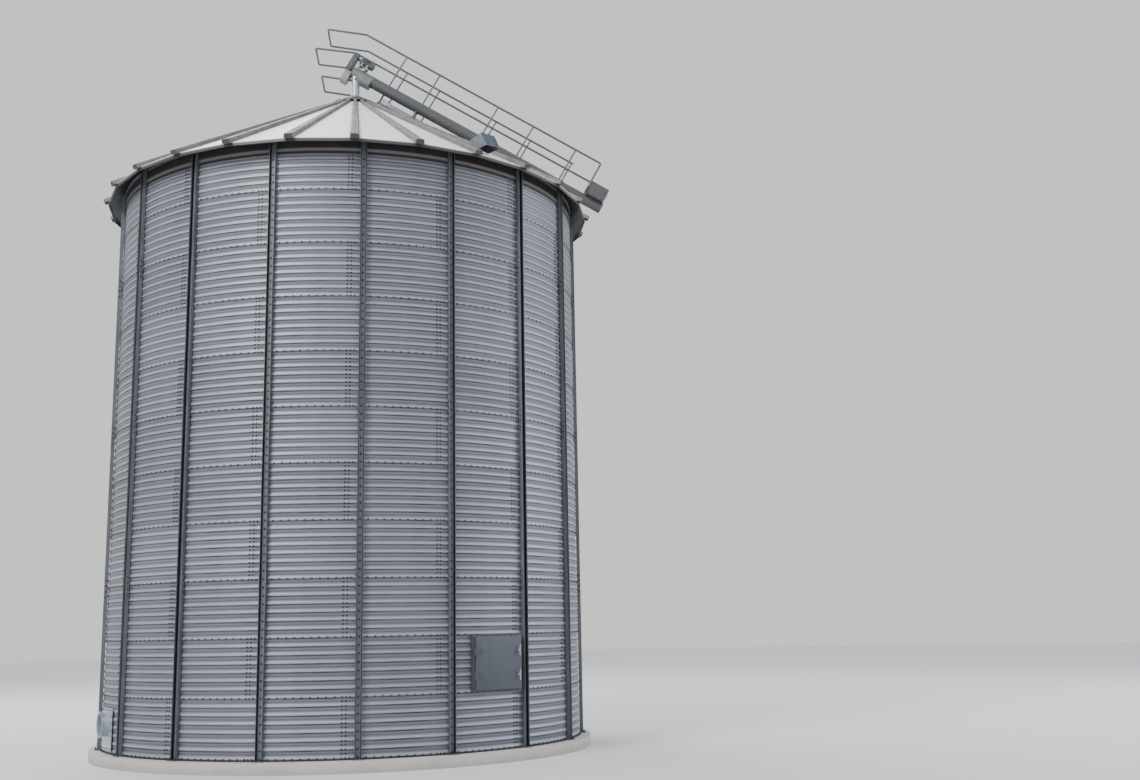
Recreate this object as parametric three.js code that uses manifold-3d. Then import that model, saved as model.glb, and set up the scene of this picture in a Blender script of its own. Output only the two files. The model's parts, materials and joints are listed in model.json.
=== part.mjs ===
// Grain silo: a round wall of galvanised sheet with outside stiffener posts on a
// concrete base, under a ribbed cone roof that carries an inclined tube auger
// and its walkway. Millimetres, +Z up, origin on the ground under the silo's axis.
// Bearings are degrees round the axis, from -Y (the manway door) towards +X.
import * as THREE from 'three';
import { mergeVertices } from 'three/addons/utils/BufferGeometryUtils.js';
import { ConvexGeometry } from 'three/addons/geometries/ConvexGeometry.js';
import Module from 'manifold-3d';

const wasm = await Module();
wasm.setup();

// Fitting gap between pieces that touch
const GAP = 0.3;
// How far two bodies of one piece reach into each other
const OVERLAP = 1;
// How far a cutter reaches past the piece it cuts
const CUT_MARGIN = 200;
const TINY = 1e-6;
// Sides of round parts
const LEG_SIDES = 8;
const SHAFT_SIDES = 12;
const PIN_SIDES = 16;
const PIPE_SIDES = 20;
const TUBE_SIDES = 24;

// Concrete base
const BASE_RADIUS = 4200;
const BASE_HEIGHT = 170;
const BASE_SEGMENTS = 72;

// Wall
const WALL_RADIUS = 4016;
const WALL_THICKNESS = 16;
const RING_HEIGHT = 850;
const RING_COUNT = 11;
const FIRST_BOLT_ROW = 200;
const WALL_BOTTOM = BASE_HEIGHT + GAP;
const RIM_DROP = 20;
const WALL_TOP = FIRST_BOLT_ROW + RING_COUNT * RING_HEIGHT - RIM_DROP;
const FACET_ANGLE = 5;

// Stiffener posts, one at each bay edge
const STIFFENER_COUNT = 18;
const BAY_ANGLE = 360 / STIFFENER_COUNT;
const FIRST_STIFFENER = -11.6;
const STIFFENER_WIDTH = 100;
const STIFFENER_DEPTH = 60;
const STIFFENER_SHEET = 6;
const POST_HEADROOM = 20;
const FOOT_WIDTH = 150;
const FOOT_DEPTH = 100;
const FOOT_THICKNESS = 12;

// Manway door, its frame and its hinge
const FRAME_WIDTH = 960;
const FRAME_BOTTOM = 1040;
const FRAME_TOP = 1890;
const FRAME_BAR = 90;
const FRAME_FRONT = -(WALL_RADIUS + 30);
const FRAME_BACK = -(WALL_RADIUS - 52);
const DOOR_WIDTH = 900;
const DOOR_HEIGHT = 800;
const DOOR_THICKNESS = 8;
const DOOR_RIM = 30;
const HINGE_OUT = { left: 16, front: 18 };
const HINGE_RADIUS = 11;
const HINGE_LENGTH = 90;
const LUG_LENGTH = 28;
const LEAF = { length: 150, proud: 6, sunk: 4 };
const HINGE_HEIGHTS = [1275, 1645];
const LATCH_HEIGHTS = [1275, 1645];
const LATCH = { inset: 60, boss: 18, bossReach: 32, handleBack: 28, handleReach: 44, width: 24, length: 150 };

// Aeration port
const PORT_BAY = 13;
const PORT_BEARING = FIRST_STIFFENER + (PORT_BAY + 0.5) * BAY_ANGLE;
const PORT_HEIGHT = 610;
const PORT_INSIDE = 60;
const PORT_RADIUS = 170;
const PORT_SHEET = 10;
const PORT_REACH = 130;
const PORT_FLANGE_RADIUS = 205;
const PORT_PLATE = { width: 620, bottom: 215, top: 860, thickness: 8 };

// Roof
const RIB_COUNT = 27;
const RIB_ANGLE = 360 / RIB_COUNT;
const FIRST_RIB = -33.7;
const ROOF_SLOPE = 30;
const EAVE_RADIUS = 4300;
const EAVE_HEIGHT = 9430;
const ROOF_SHEET = 12;
const ROOF_HOLE = 430;
const LIP_HEIGHT = 60;
const RIBS_PER_SECTOR = 3;
const RIB_SINK = 6;
const RIB_EAVE = { radius: 4345, width: 140, height: 70 };
const RIB_PEAK = { radius: 475, width: 62, height: 45 };
const EAVE_RING = { overhang: 10, width: 56 };
const CAP_RADIUS = 500;
const CAP_TOP_RADIUS = 130;
const CAP_SHEET = 12;
const CAP_LIFT = 0.9;

// Auger midway between two roof ribs: along runs down the slope from the silo's axis
const AUGER_PANEL = 6;
const AUGER_BEARING = FIRST_RIB + (AUGER_PANEL + 0.5) * RIB_ANGLE;
const AUGER_SLOPE = 29.2;
const AUGER_HEIGHT = 12391;
const TUBE_RADIUS = 100;
const TUBE_START = -50;
const TUBE_END = 5320;
const OUTLET = { start: 60, end: 350, radius: 115, offset: -55 };
const SPOUT_RADIUS = 77;
const HOPPER = { start: 4930, end: 5290, width: 420, low: 70, height: 260, sheet: 12 };
const GUARD = { start: -208, end: -108, low: -60, high: 385, width: 200, shaft: 30 };
const GUARD_FOOT = { start: -190, end: -56, low: -290, high: -40 };
const MOTOR = { along: -60, length: 295, offset: 282, radius: 80, shaft: 20 };
const SADDLE = { start: -40, end: 165, low: 60, width: 140 };

// Walkway beside the auger: across runs level, away from the tube
const RAIL_RADIUS = 20;
const RAIL_SIDES = 6;
const RAIL_FLAT = RAIL_RADIUS * Math.cos(Math.PI / RAIL_SIDES);
const ELBOW_RADIUS = 22;
const POST_RADIUS = 17;
const RAIL_NEAR = 130;
const RAIL_FAR = 854;
const TOP_RAIL = 851;
const MID_RAIL = 417;
const RAIL_BREAK = -255;
const END_GAP = 0.8;
const POSTS = [631, 1357, 2632, 3406, 4337];
const NEAR_RAIL_END = 4890;
const FAR_RAIL_END = 4375;
const DECK_OFFSET = -225;
const DECK_START = 600;
const DECK_THICKNESS = 30;
const DECK_INNER = 110;
const DECK_OUTER = 875;
const STRINGER = { start: 830, width: 40, height: 80 };
const KICK_PLATE = { start: 830, height: 85, thickness: 6, inset: 20 };
const BEAM = 60;
const BEAM_END = 980;
const HANGER = 15;
const LEG_REACH = 900;
const SUPPORTS = [
  { along: 1357, legs: [240, 850] },
  { along: 2632, legs: [400, 920] },
  { along: 4337, legs: [280, 850] },
];

// Rails over the peak, that rise a little outwards, by reach from the axis and height
const PEAK_TOP = { reach: -549, height: 13347 };
const PEAK_MID = { reach: -773, height: 12952 };
const PEAK_FLOOR = { reach: -644, height: 12387 };
const PEAK_FOOT = { reach: -20, height: 12305 };
const PEAK_BRACKET = { start: -45, end: 20, inner: 86, outer: 132, low: -120, high: -40 };

// Vent hoods on the roof, near the eave
const HOOD_BEARINGS = [-2.5, -2.5 + 13 * RIB_ANGLE];
const HOOD_WIDTH = 270;
const HOOD_SHEET = 10;
const HOOD_RADIUS = 3950;
const HOOD_OUTSIDE = [
  [-160, -20], [0, -20], [0, 0], [320, 0], [170, 255], [-130, 215], [-120, 40], [-160, 40],
];
const HOOD_INSIDE = [[12, -50], [300, -50], [300, 12], [158, 243], [-118, 204], [-108, 90], [12, 20]];

const HINGE_AXIS = new THREE.Vector3(
  -DOOR_WIDTH / 2 - HINGE_OUT.left,
  FRAME_FRONT - HINGE_OUT.front,
  (FRAME_BOTTOM + FRAME_TOP) / 2,
);

const radians = THREE.MathUtils.degToRad;
const slopeTan = Math.tan(radians(ROOF_SLOPE));
const slopeCos = Math.cos(radians(ROOF_SLOPE));

// Materials
const galvanised = (color, roughness = 0.45) =>
  new THREE.MeshStandardMaterial({ color, roughness, metalness: 0.85 });
const wallSheet = galvanised(0xaab2bd, 0.38);
const roofSheet = galvanised(0xc9ccca, 0.5);
const postSteel = galvanised(0x7d858c);
const railSteel = galvanised(0x9aa1a6);
const doorSteel = galvanised(0x6f767c, 0.5);
const machinePaint = new THREE.MeshStandardMaterial({ color: 0x6d7478, roughness: 0.5, metalness: 0.4 });
const concrete = new THREE.MeshStandardMaterial({ color: 0xa9a59c, roughness: 0.9, metalness: 0 });

// The point at a bearing, radius and height
function polar(radius, bearing, height = 0) {
  const angle = radians(bearing);
  return new THREE.Vector3(radius * Math.sin(angle), -radius * Math.cos(angle), height);
}

// Turns a piece drawn along -Y (the door's side) to a bearing
function toBearing(bearing) {
  return new THREE.Matrix4().makeRotationZ(radians(bearing));
}

function bare(geometry) {
  const plain = geometry.index ? geometry.toNonIndexed() : geometry.clone();
  plain.deleteAttribute('normal');
  plain.deleteAttribute('uv');
  return mergeVertices(plain, 1e-3);
}

function solid(geometry) {
  const merged = bare(geometry);
  return new wasm.Manifold(new wasm.Mesh({
    numProp: 3,
    vertProperties: new Float32Array(merged.attributes.position.array),
    triVerts: new Uint32Array(merged.index.array),
  }));
}

function geometryOf(body) {
  const mesh = body.getMesh();
  const geometry = new THREE.BufferGeometry();
  const positions = new Float32Array(mesh.numVert * 3);
  for (let i = 0; i < mesh.numVert; i += 1) {
    positions.set(mesh.vertProperties.subarray(i * mesh.numProp, i * mesh.numProp + 3), i * 3);
  }
  geometry.setAttribute('position', new THREE.BufferAttribute(positions, 3));
  geometry.setIndex(new THREE.BufferAttribute(new Uint32Array(mesh.triVerts), 1));
  geometry.computeVertexNormals();
  return geometry;
}

// Joins the first geometries and cuts away the second ones
function join(added, removed = []) {
  const whole = added.map(solid).reduce((sum, body) => sum.add(body));
  return geometryOf(removed.map(solid).reduce((rest, body) => rest.subtract(body), whole));
}

// A box between two corners
function block(low, high) {
  const size = high.map((value, axis) => value - low[axis]);
  const centre = high.map((value, axis) => (value + low[axis]) / 2);
  return new THREE.BoxGeometry(...size).translate(...centre);
}

// A round bar from one point to another
function bar(from, to, radius, sides = RAIL_SIDES) {
  const run = to.clone().sub(from);
  const turn = new THREE.Quaternion().setFromUnitVectors(new THREE.Vector3(0, 1, 0), run.clone().normalize());
  const middle = from.clone().addScaledVector(run, 0.5);
  return new THREE.CylinderGeometry(radius, radius, run.length(), sides)
    .applyQuaternion(turn)
    .translate(middle.x, middle.y, middle.z);
}

// A solid of revolution round the vertical axis, from [radius, height] points
function turned(profile, segments = BASE_SEGMENTS) {
  const points = profile.map(([radius, height]) => new THREE.Vector2(radius, height));
  return new THREE.LatheGeometry(points, segments).rotateX(Math.PI / 2);
}

// How far a corner of a many-sided ring lies beyond the middle of its sides
function facetStretch(bearing, facetCentre, facetAngle) {
  const turns = (bearing - facetCentre) / facetAngle;
  return 1 / Math.cos(radians((turns - Math.round(turns)) * facetAngle));
}

// Carries a closed [radius, height] outline through stations {bearing, stretch}
function swept(profile, stations) {
  const positions = [];
  const indices = [];
  const count = profile.length;
  for (const { bearing, stretch } of stations) {
    for (const [radius, height] of profile) {
      positions.push(...polar(radius * stretch, bearing, height).toArray());
    }
  }
  for (let s = 0; s + 1 < stations.length; s += 1) {
    for (let p = 0; p < count; p += 1) {
      const next = (p + 1) % count;
      const [a, b] = [s * count + p, s * count + next];
      const [c, d] = [a + count, b + count];
      indices.push(a, d, b, a, c, d);
    }
  }
  const outline = profile.map(([radius, height]) => new THREE.Vector2(radius, height));
  const last = (stations.length - 1) * count;
  for (const [a, b, c] of THREE.ShapeUtils.triangulateShape(outline, [])) {
    indices.push(a, b, c, last + a, last + c, last + b);
  }
  const geometry = new THREE.BufferGeometry();
  geometry.setAttribute('position', new THREE.Float32BufferAttribute(positions, 3));
  geometry.setIndex(indices);
  geometry.computeVertexNormals();
  return geometry;
}

// An outline [radius, height] whose points run anticlockwise
function rectangle(inner, outer, bottom, top) {
  return [[inner, bottom], [outer, bottom], [outer, top], [inner, top]];
}

const silo = new THREE.Group();

function addPiece(name, geometry, material, parent = silo) {
  const mesh = new THREE.Mesh(geometry, material);
  mesh.name = name;
  parent.add(mesh);
  return mesh;
}

// Base
addPiece('concrete_base', turned([
  [0, 0], [BASE_RADIUS, 0], [BASE_RADIUS, BASE_HEIGHT], [0, BASE_HEIGHT],
]), concrete);

// Stations of a wall arc: its two ends and every facet corner between them
function wallStations(start, end) {
  const edge = THREE.MathUtils.radToDeg(GAP / 2 / WALL_RADIUS);
  const corner = FIRST_STIFFENER + FACET_ANGLE / 2;
  const first = Math.ceil((start - corner) / FACET_ANGLE + TINY);
  const bearings = [start + edge];
  for (let n = first; corner + n * FACET_ANGLE < end - TINY; n += 1) {
    bearings.push(corner + n * FACET_ANGLE);
  }
  bearings.push(end - edge);
  return bearings.map((bearing) => ({
    bearing,
    stretch: facetStretch(bearing, FIRST_STIFFENER, FACET_ANGLE),
  }));
}

function wallArc(start, end, bottom = WALL_BOTTOM, top = WALL_TOP) {
  const profile = rectangle(WALL_RADIUS - WALL_THICKNESS, WALL_RADIUS, bottom, top);
  return swept(profile, wallStations(start, end));
}

const bayStart = (bay) => FIRST_STIFFENER + bay * BAY_ANGLE;

// Wall round the doorway: below, above and at each side of the frame
function addDoorBay() {
  const [start, end] = [bayStart(0), bayStart(1)];
  const [low, high] = [FRAME_BOTTOM - GAP, FRAME_TOP + GAP];
  const side = FRAME_WIDTH / 2 + GAP;
  const band = wallArc(start, end, low + GAP, high - GAP);
  const far = WALL_RADIUS + CUT_MARGIN;
  addPiece('wall_below_door', wallArc(start, end, WALL_BOTTOM, low), wallSheet);
  addPiece('wall_above_door', wallArc(start, end, high, WALL_TOP), wallSheet);
  addPiece('wall_left_of_door', join([band], [block([-side, -far, 0], [far, 0, high])]), wallSheet);
  addPiece('wall_right_of_door', join([band], [block([-far, -far, 0], [side, 0, high])]), wallSheet);
}

// A cylinder that lies along -Y at the port's height, between two radii
function portCylinder(radius, inner, outer) {
  return new THREE.CylinderGeometry(radius, radius, outer - inner, TUBE_SIDES)
    .translate(0, -(inner + outer) / 2, 0)
    .translate(0, 0, PORT_HEIGHT)
    .applyMatrix4(toBearing(PORT_BEARING));
}

function addWall() {
  const sectors = [
    ['wall_sector_1', 1, 4], ['wall_sector_2', 4, 7], ['wall_sector_3', 7, 10],
    ['wall_sector_4', 10, PORT_BAY], ['wall_sector_5', PORT_BAY + 1, 16], ['wall_sector_6', 16, 18],
  ];
  for (const [name, first, last] of sectors) {
    addPiece(name, wallArc(bayStart(first), bayStart(last)), wallSheet);
  }
  const portBay = wallArc(bayStart(PORT_BAY), bayStart(PORT_BAY + 1));
  const [inner, outer] = [WALL_RADIUS - CUT_MARGIN, WALL_RADIUS + CUT_MARGIN];
  const hole = portCylinder(PORT_RADIUS + PORT_SHEET + GAP, inner, outer);
  addPiece('wall_port_bay', join([portBay], [hole]), wallSheet);
  addDoorBay();
}

// A stiffener post: an outward-open channel with a foot plate, drawn on the -Y side
function stiffenerGeometry() {
  const back = -(WALL_RADIUS + GAP);
  const front = back - STIFFENER_DEPTH;
  const half = STIFFENER_WIDTH / 2;
  const sheet = STIFFENER_SHEET;
  const top = WALL_TOP - POST_HEADROOM;
  const channel = new THREE.Shape([
    [-half, back], [-half, front], [-half + sheet, front], [-half + sheet, back - sheet],
    [half - sheet, back - sheet], [half - sheet, front], [half, front], [half, back],
  ].map(([x, y]) => new THREE.Vector2(x, y)));
  const post = new THREE.ExtrudeGeometry(channel, { depth: top - WALL_BOTTOM, bevelEnabled: false })
    .translate(0, 0, WALL_BOTTOM);
  const foot = block(
    [-FOOT_WIDTH / 2, back - FOOT_DEPTH, WALL_BOTTOM],
    [FOOT_WIDTH / 2, back, WALL_BOTTOM + FOOT_THICKNESS],
  );
  return join([post, foot]);
}

function addStiffeners() {
  const geometry = stiffenerGeometry();
  for (let i = 0; i < STIFFENER_COUNT; i += 1) {
    const name = `stiffener_${String(i + 1).padStart(2, '0')}`;
    addPiece(name, geometry, postSteel).rotation.z = radians(bayStart(i));
  }
}

// Height of the roof sheet's top at a distance out from the axis, along a rib
const roofHeight = (radius) => EAVE_HEIGHT + (EAVE_RADIUS - radius) * slopeTan;

// One rib: a tapered bar on the sheet, with square-cut ends, drawn on the -Y side
function ribGeometry() {
  const corners = [RIB_EAVE, RIB_PEAK].flatMap(({ radius, width, height }) =>
    [-1, 1].flatMap((side) => [-RIB_SINK, height].map((rise) => new THREE.Vector3(
      side * width / 2,
      -(radius + rise * Math.sin(radians(ROOF_SLOPE))),
      roofHeight(radius) + rise * slopeCos,
    ))));
  return new ConvexGeometry(corners);
}

// Three panels and their ribs, with the seam at the middle of a panel
function roofSector(first) {
  const drop = ROOF_SHEET / slopeCos;
  const inside = EAVE_RADIUS - ROOF_SHEET;
  const lipBottom = EAVE_HEIGHT - LIP_HEIGHT;
  const profile = [
    [EAVE_RADIUS, lipBottom], [EAVE_RADIUS, EAVE_HEIGHT], [ROOF_HOLE, roofHeight(ROOF_HOLE)],
    [ROOF_HOLE, roofHeight(ROOF_HOLE) - drop], [inside, roofHeight(inside) - drop], [inside, lipBottom],
  ];
  const edge = THREE.MathUtils.radToDeg(GAP / 2 / ROOF_HOLE);
  const ribs = Array.from({ length: RIBS_PER_SECTOR }, (_, i) => FIRST_RIB + (first + i) * RIB_ANGLE);
  const middle = Math.cos(radians(RIB_ANGLE / 2));
  const stations = [
    { bearing: ribs[0] - RIB_ANGLE / 2 + edge, stretch: middle },
    ...ribs.map((bearing) => ({ bearing, stretch: 1 })),
    { bearing: ribs[RIBS_PER_SECTOR - 1] + RIB_ANGLE / 2 - edge, stretch: middle },
  ];
  const sheets = swept(profile, stations);
  return join([sheets, ...ribs.map((bearing) => ribGeometry().applyMatrix4(toBearing(bearing)))]);
}

// The angle ring that ties the wall's top edge under the roof
function addEaveRing() {
  const corner = 1 / Math.cos(radians(FACET_ANGLE / 2));
  const outer = (WALL_RADIUS + EAVE_RING.overhang) * corner;
  const inner = outer - EAVE_RING.width;
  const panelMiddle = outer / Math.cos(radians(RIB_ANGLE / 2));
  const top = roofHeight(panelMiddle) - ROOF_SHEET / slopeCos - GAP;
  const bottom = WALL_TOP + GAP;
  const ring = turned([[inner, bottom], [outer, bottom], [outer, top], [inner, top], [inner, bottom]]);
  ring.rotateZ(radians(FIRST_STIFFENER + FACET_ANGLE / 2));
  addPiece('eave_ring', ring, postSteel);
}

function addRoof() {
  for (let i = 0; i < RIB_COUNT / RIBS_PER_SECTOR; i += 1) {
    addPiece(`roof_sector_${i + 1}`, roofSector(i * RIBS_PER_SECTOR), roofSheet);
  }
  addEaveRing();
  const ribTop = roofHeight(CAP_RADIUS) + (RIB_PEAK.height + CAP_LIFT) / slopeCos;
  const capTop = ribTop + CAP_SHEET / slopeCos + (CAP_RADIUS - CAP_TOP_RADIUS) * slopeTan;
  const cap = turned([
    [0, capTop - CAP_SHEET], [CAP_TOP_RADIUS, capTop - CAP_SHEET / slopeCos], [CAP_RADIUS, ribTop],
    [CAP_RADIUS, ribTop + CAP_SHEET / slopeCos], [CAP_TOP_RADIUS, capTop], [0, capTop],
  ], 2 * RIB_COUNT);
  addPiece('peak_cap', cap.rotateZ(radians(FIRST_RIB)), roofSheet);
  return capTop;
}

// The auger's own frame: X down the slope, Y away from the tube, Z off the slope
function augerMatrix() {
  const [turn, slope] = [radians(AUGER_BEARING), radians(AUGER_SLOPE)];
  const [level, fall] = [Math.cos(slope), Math.sin(slope)];
  const along = new THREE.Vector3(level * Math.sin(turn), -level * Math.cos(turn), -fall);
  const across = new THREE.Vector3(Math.cos(turn), Math.sin(turn), 0);
  const off = new THREE.Vector3().crossVectors(along, across);
  return new THREE.Matrix4().makeBasis(along, across, off).setPosition(0, 0, AUGER_HEIGHT);
}

const augerFrame = augerMatrix();
const augerPoint = (along, across, off) => new THREE.Vector3(along, across, off).applyMatrix4(augerFrame);

// The point over a horizontal reach from the axis, on the auger's bearing
function walkPoint(reach, across, height) {
  const point = polar(reach, AUGER_BEARING, height);
  const turn = radians(AUGER_BEARING);
  return point.add(new THREE.Vector3(Math.cos(turn), Math.sin(turn), 0).multiplyScalar(across));
}

// A cylinder along the auger's own X axis
function augerCylinder(start, end, radius, off = 0, sides = TUBE_SIDES) {
  return new THREE.CylinderGeometry(radius, radius, end - start, sides)
    .rotateZ(-Math.PI / 2)
    .translate((start + end) / 2, 0, off);
}

// The room that the tube and its outlet take up
function tubeSpace() {
  return [
    augerCylinder(TUBE_START - CUT_MARGIN, TUBE_END + CUT_MARGIN, TUBE_RADIUS + GAP),
    augerCylinder(OUTLET.start - GAP, OUTLET.end + GAP, OUTLET.radius + GAP, OUTLET.offset),
  ].map((space) => space.applyMatrix4(augerFrame));
}

function addAuger(capTop) {
  const group = new THREE.Group();
  group.applyMatrix4(augerFrame);
  silo.add(group);
  const hopperSide = HOPPER.width / 2;
  const tube = join([
    augerCylinder(TUBE_START, TUBE_END, TUBE_RADIUS),
    augerCylinder(OUTLET.start, OUTLET.end, OUTLET.radius, OUTLET.offset),
  ]);
  addPiece('auger_tube', tube, railSteel, group);

  // Open-topped hopper over the tube's lower end, square with the slope
  const { sheet, low } = HOPPER;
  const high = low + HOPPER.height;
  const outside = block([HOPPER.start, -hopperSide, low], [HOPPER.end, hopperSide, high]);
  const inside = block(
    [HOPPER.start + sheet, -hopperSide + sheet, low + sheet],
    [HOPPER.end - sheet, hopperSide - sheet, high + sheet],
  );
  const clear = augerCylinder(HOPPER.start - CUT_MARGIN, TUBE_END + CUT_MARGIN, TUBE_RADIUS + GAP);
  addPiece('auger_hopper', join([outside], [inside, clear]), railSteel, group);

  // Belt guard at the upper end, square to the tube
  const guard = [GUARD, GUARD_FOOT].map(({ start, end, low: bottom, high: top }) =>
    block([start, -GUARD.width / 2, bottom], [end, GUARD.width / 2, top]));
  const shaft = augerCylinder(GUARD.start + GAP, TUBE_START - GAP, GUARD.shaft, 0, SHAFT_SIDES);
  addPiece('drive_guard', join([...guard, shaft]), machinePaint, group);

  // Motor on its saddle above the tube
  const motorEnd = MOTOR.along + MOTOR.length;
  const motor = join([
    augerCylinder(MOTOR.along, motorEnd, MOTOR.radius, MOTOR.offset, PIPE_SIDES),
    block([SADDLE.start, -SADDLE.width / 2, SADDLE.low], [SADDLE.end, SADDLE.width / 2, MOTOR.offset]),
    augerCylinder(GUARD.end + GAP, MOTOR.along, MOTOR.shaft, MOTOR.offset, SHAFT_SIDES),
  ], [augerCylinder(MOTOR.along - CUT_MARGIN, motorEnd + CUT_MARGIN, TUBE_RADIUS + GAP)]);
  addPiece('drive_motor', motor, machinePaint, group);

  // Spout straight down from the tube onto the cap
  const spout = bar(
    new THREE.Vector3(0, 0, capTop + GAP), new THREE.Vector3(0, 0, AUGER_HEIGHT),
    SPOUT_RADIUS, PIPE_SIDES,
  );
  addPiece('discharge_spout', join([spout], tubeSpace()), railSteel);
}

// The panel that a point of the roof lies on, as a block under its top face
function roofPanelCutter(point) {
  const bearing = THREE.MathUtils.radToDeg(Math.atan2(point.x, -point.y));
  const panel = Math.floor((bearing - FIRST_RIB) / RIB_ANGLE);
  const centre = FIRST_RIB + (panel + 0.5) * RIB_ANGLE;
  const middle = EAVE_RADIUS * Math.cos(radians(RIB_ANGLE / 2));
  const panelTan = slopeTan / Math.cos(radians(RIB_ANGLE / 2));
  const size = EAVE_RADIUS;
  return new THREE.BoxGeometry(size, 2 * size, size)
    .translate(0, 0, -size / 2 + GAP)
    .rotateX(Math.atan(panelTan))
    .translate(0, -middle, EAVE_HEIGHT)
    .applyMatrix4(toBearing(centre));
}

// Upright legs from the cross beams down to the roof panels under them
function walkwayLegs() {
  const beamLow = DECK_OFFSET - STRINGER.height - BEAM / 2;
  return SUPPORTS.flatMap(({ along, legs }) => legs.map((across) => {
    const top = augerPoint(along, across, beamLow);
    const foot = top.clone().setZ(top.z - LEG_REACH);
    return join([bar(foot, top, BEAM / 2, LEG_SIDES)], [roofPanelCutter(top)]);
  }));
}

function addWalkwayDeck() {
  const [deckTop, deckEnd] = [DECK_OFFSET, NEAR_RAIL_END];
  const beamTop = deckTop - STRINGER.height;
  const placed = (low, high) => block(low, high).applyMatrix4(augerFrame);
  const slab = placed([DECK_START, DECK_INNER, deckTop - DECK_THICKNESS], [deckEnd, DECK_OUTER, deckTop]);
  const stringers = [DECK_INNER, DECK_OUTER - STRINGER.width].map((across) => placed(
    [STRINGER.start, across, beamTop], [deckEnd, across + STRINGER.width, deckTop],
  ));
  const { start: kickStart, height, thickness, inset } = KICK_PLATE;
  const kickPlates = [RAIL_NEAR + inset, RAIL_FAR - inset - thickness].map((across) => placed(
    [kickStart, across, deckTop - OVERLAP], [deckEnd, across + thickness, deckTop + height],
  ));
  // Each support is a cross beam under the stringers and a hanger up to the tube
  const supports = SUPPORTS.flatMap(({ along }) => {
    const [start, end] = [along - BEAM / 2, along + BEAM / 2];
    return [
      placed([start, -BEAM, beamTop - BEAM], [end, BEAM_END, beamTop + OVERLAP]),
      placed([along - HANGER, -BEAM, beamTop - BEAM], [along + HANGER, BEAM, 0]),
    ];
  });
  const frame = [slab, ...stringers, ...kickPlates, ...supports, ...walkwayLegs()];
  addPiece('walkway_deck', join(frame, tubeSpace()), railSteel);
}

const peakPoint = ({ reach, height }, across) => walkPoint(reach, across, height);

// Floor frame over the peak, on a bracket at the tube's side
function addPeakFloor() {
  const sides = [RAIL_NEAR, RAIL_FAR];
  const rails = sides.map((across) =>
    bar(peakPoint(PEAK_FLOOR, across), peakPoint(PEAK_FOOT, across), RAIL_RADIUS));
  const crossBars = [PEAK_FLOOR, PEAK_FOOT].map((end) =>
    bar(peakPoint(end, sides[0]), peakPoint(end, sides[1]), RAIL_RADIUS));
  const { start, end, inner, outer, low, high } = PEAK_BRACKET;
  const bracket = block([start, inner, low], [end, outer, high]).applyMatrix4(augerFrame);
  addPiece('platform_floor', join([...rails, ...crossBars, bracket], tubeSpace()), railSteel);
}

// One side's top rail, mid rail and posts, all in one upright plane
function railSide(across, posts, end) {
  const bars = [];
  for (const [off, peak] of [[TOP_RAIL, PEAK_TOP], [MID_RAIL, PEAK_MID]]) {
    const corner = augerPoint(RAIL_BREAK, across, off);
    bars.push(bar(corner, augerPoint(end, across, off), RAIL_RADIUS));
    bars.push(bar(corner, peakPoint(peak, across), RAIL_RADIUS));
    bars.push(new THREE.SphereGeometry(ELBOW_RADIUS, 8, 5).translate(corner.x, corner.y, corner.z));
  }
  for (const along of posts) {
    const [foot, head] = [DECK_OFFSET + GAP, TOP_RAIL].map((off) => augerPoint(along, across, off));
    bars.push(bar(foot, head, POST_RADIUS));
  }
  return join(bars);
}

function addRails() {
  addPiece('handrail_near', railSide(RAIL_NEAR, [...POSTS, NEAR_RAIL_END], NEAR_RAIL_END), railSteel);
  addPiece('handrail_far', railSide(RAIL_FAR, POSTS, FAR_RAIL_END), railSteel);
  for (const [name, { reach, height }] of [['handrail_end_top', PEAK_TOP], ['handrail_end_mid', PEAK_MID]]) {
    const ends = [RAIL_NEAR + RAIL_FLAT + END_GAP, RAIL_FAR - RAIL_FLAT - END_GAP];
    const [from, to] = ends.map((across) => walkPoint(reach + RAIL_RADIUS, across, height));
    addPiece(name, bar(from, to, RAIL_RADIUS), railSteel);
  }
}

// Vent hood: a sheet box on the roof that opens downwards in front of its foot
function hoodPrism(outline, width) {
  const shape = new THREE.Shape(outline.map(([out, up]) => new THREE.Vector2(HOOD_RADIUS + out, up)));
  return new THREE.ExtrudeGeometry(shape, { depth: width, bevelEnabled: false })
    .translate(0, 0, -width / 2)
    .rotateX(Math.PI / 2)
    .rotateZ(-Math.PI / 2)
    .translate(0, 0, roofHeight(HOOD_RADIUS));
}

function addHoods() {
  HOOD_BEARINGS.forEach((bearing, i) => {
    const turn = toBearing(bearing);
    const outside = hoodPrism(HOOD_OUTSIDE, HOOD_WIDTH).applyMatrix4(turn);
    const inside = hoodPrism(HOOD_INSIDE, HOOD_WIDTH - 2 * HOOD_SHEET).applyMatrix4(turn);
    const cutter = roofPanelCutter(polar(HOOD_RADIUS, bearing));
    addPiece(`vent_hood_${i + 1}`, join([outside], [inside, cutter]), doorSteel);
  });
}

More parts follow.
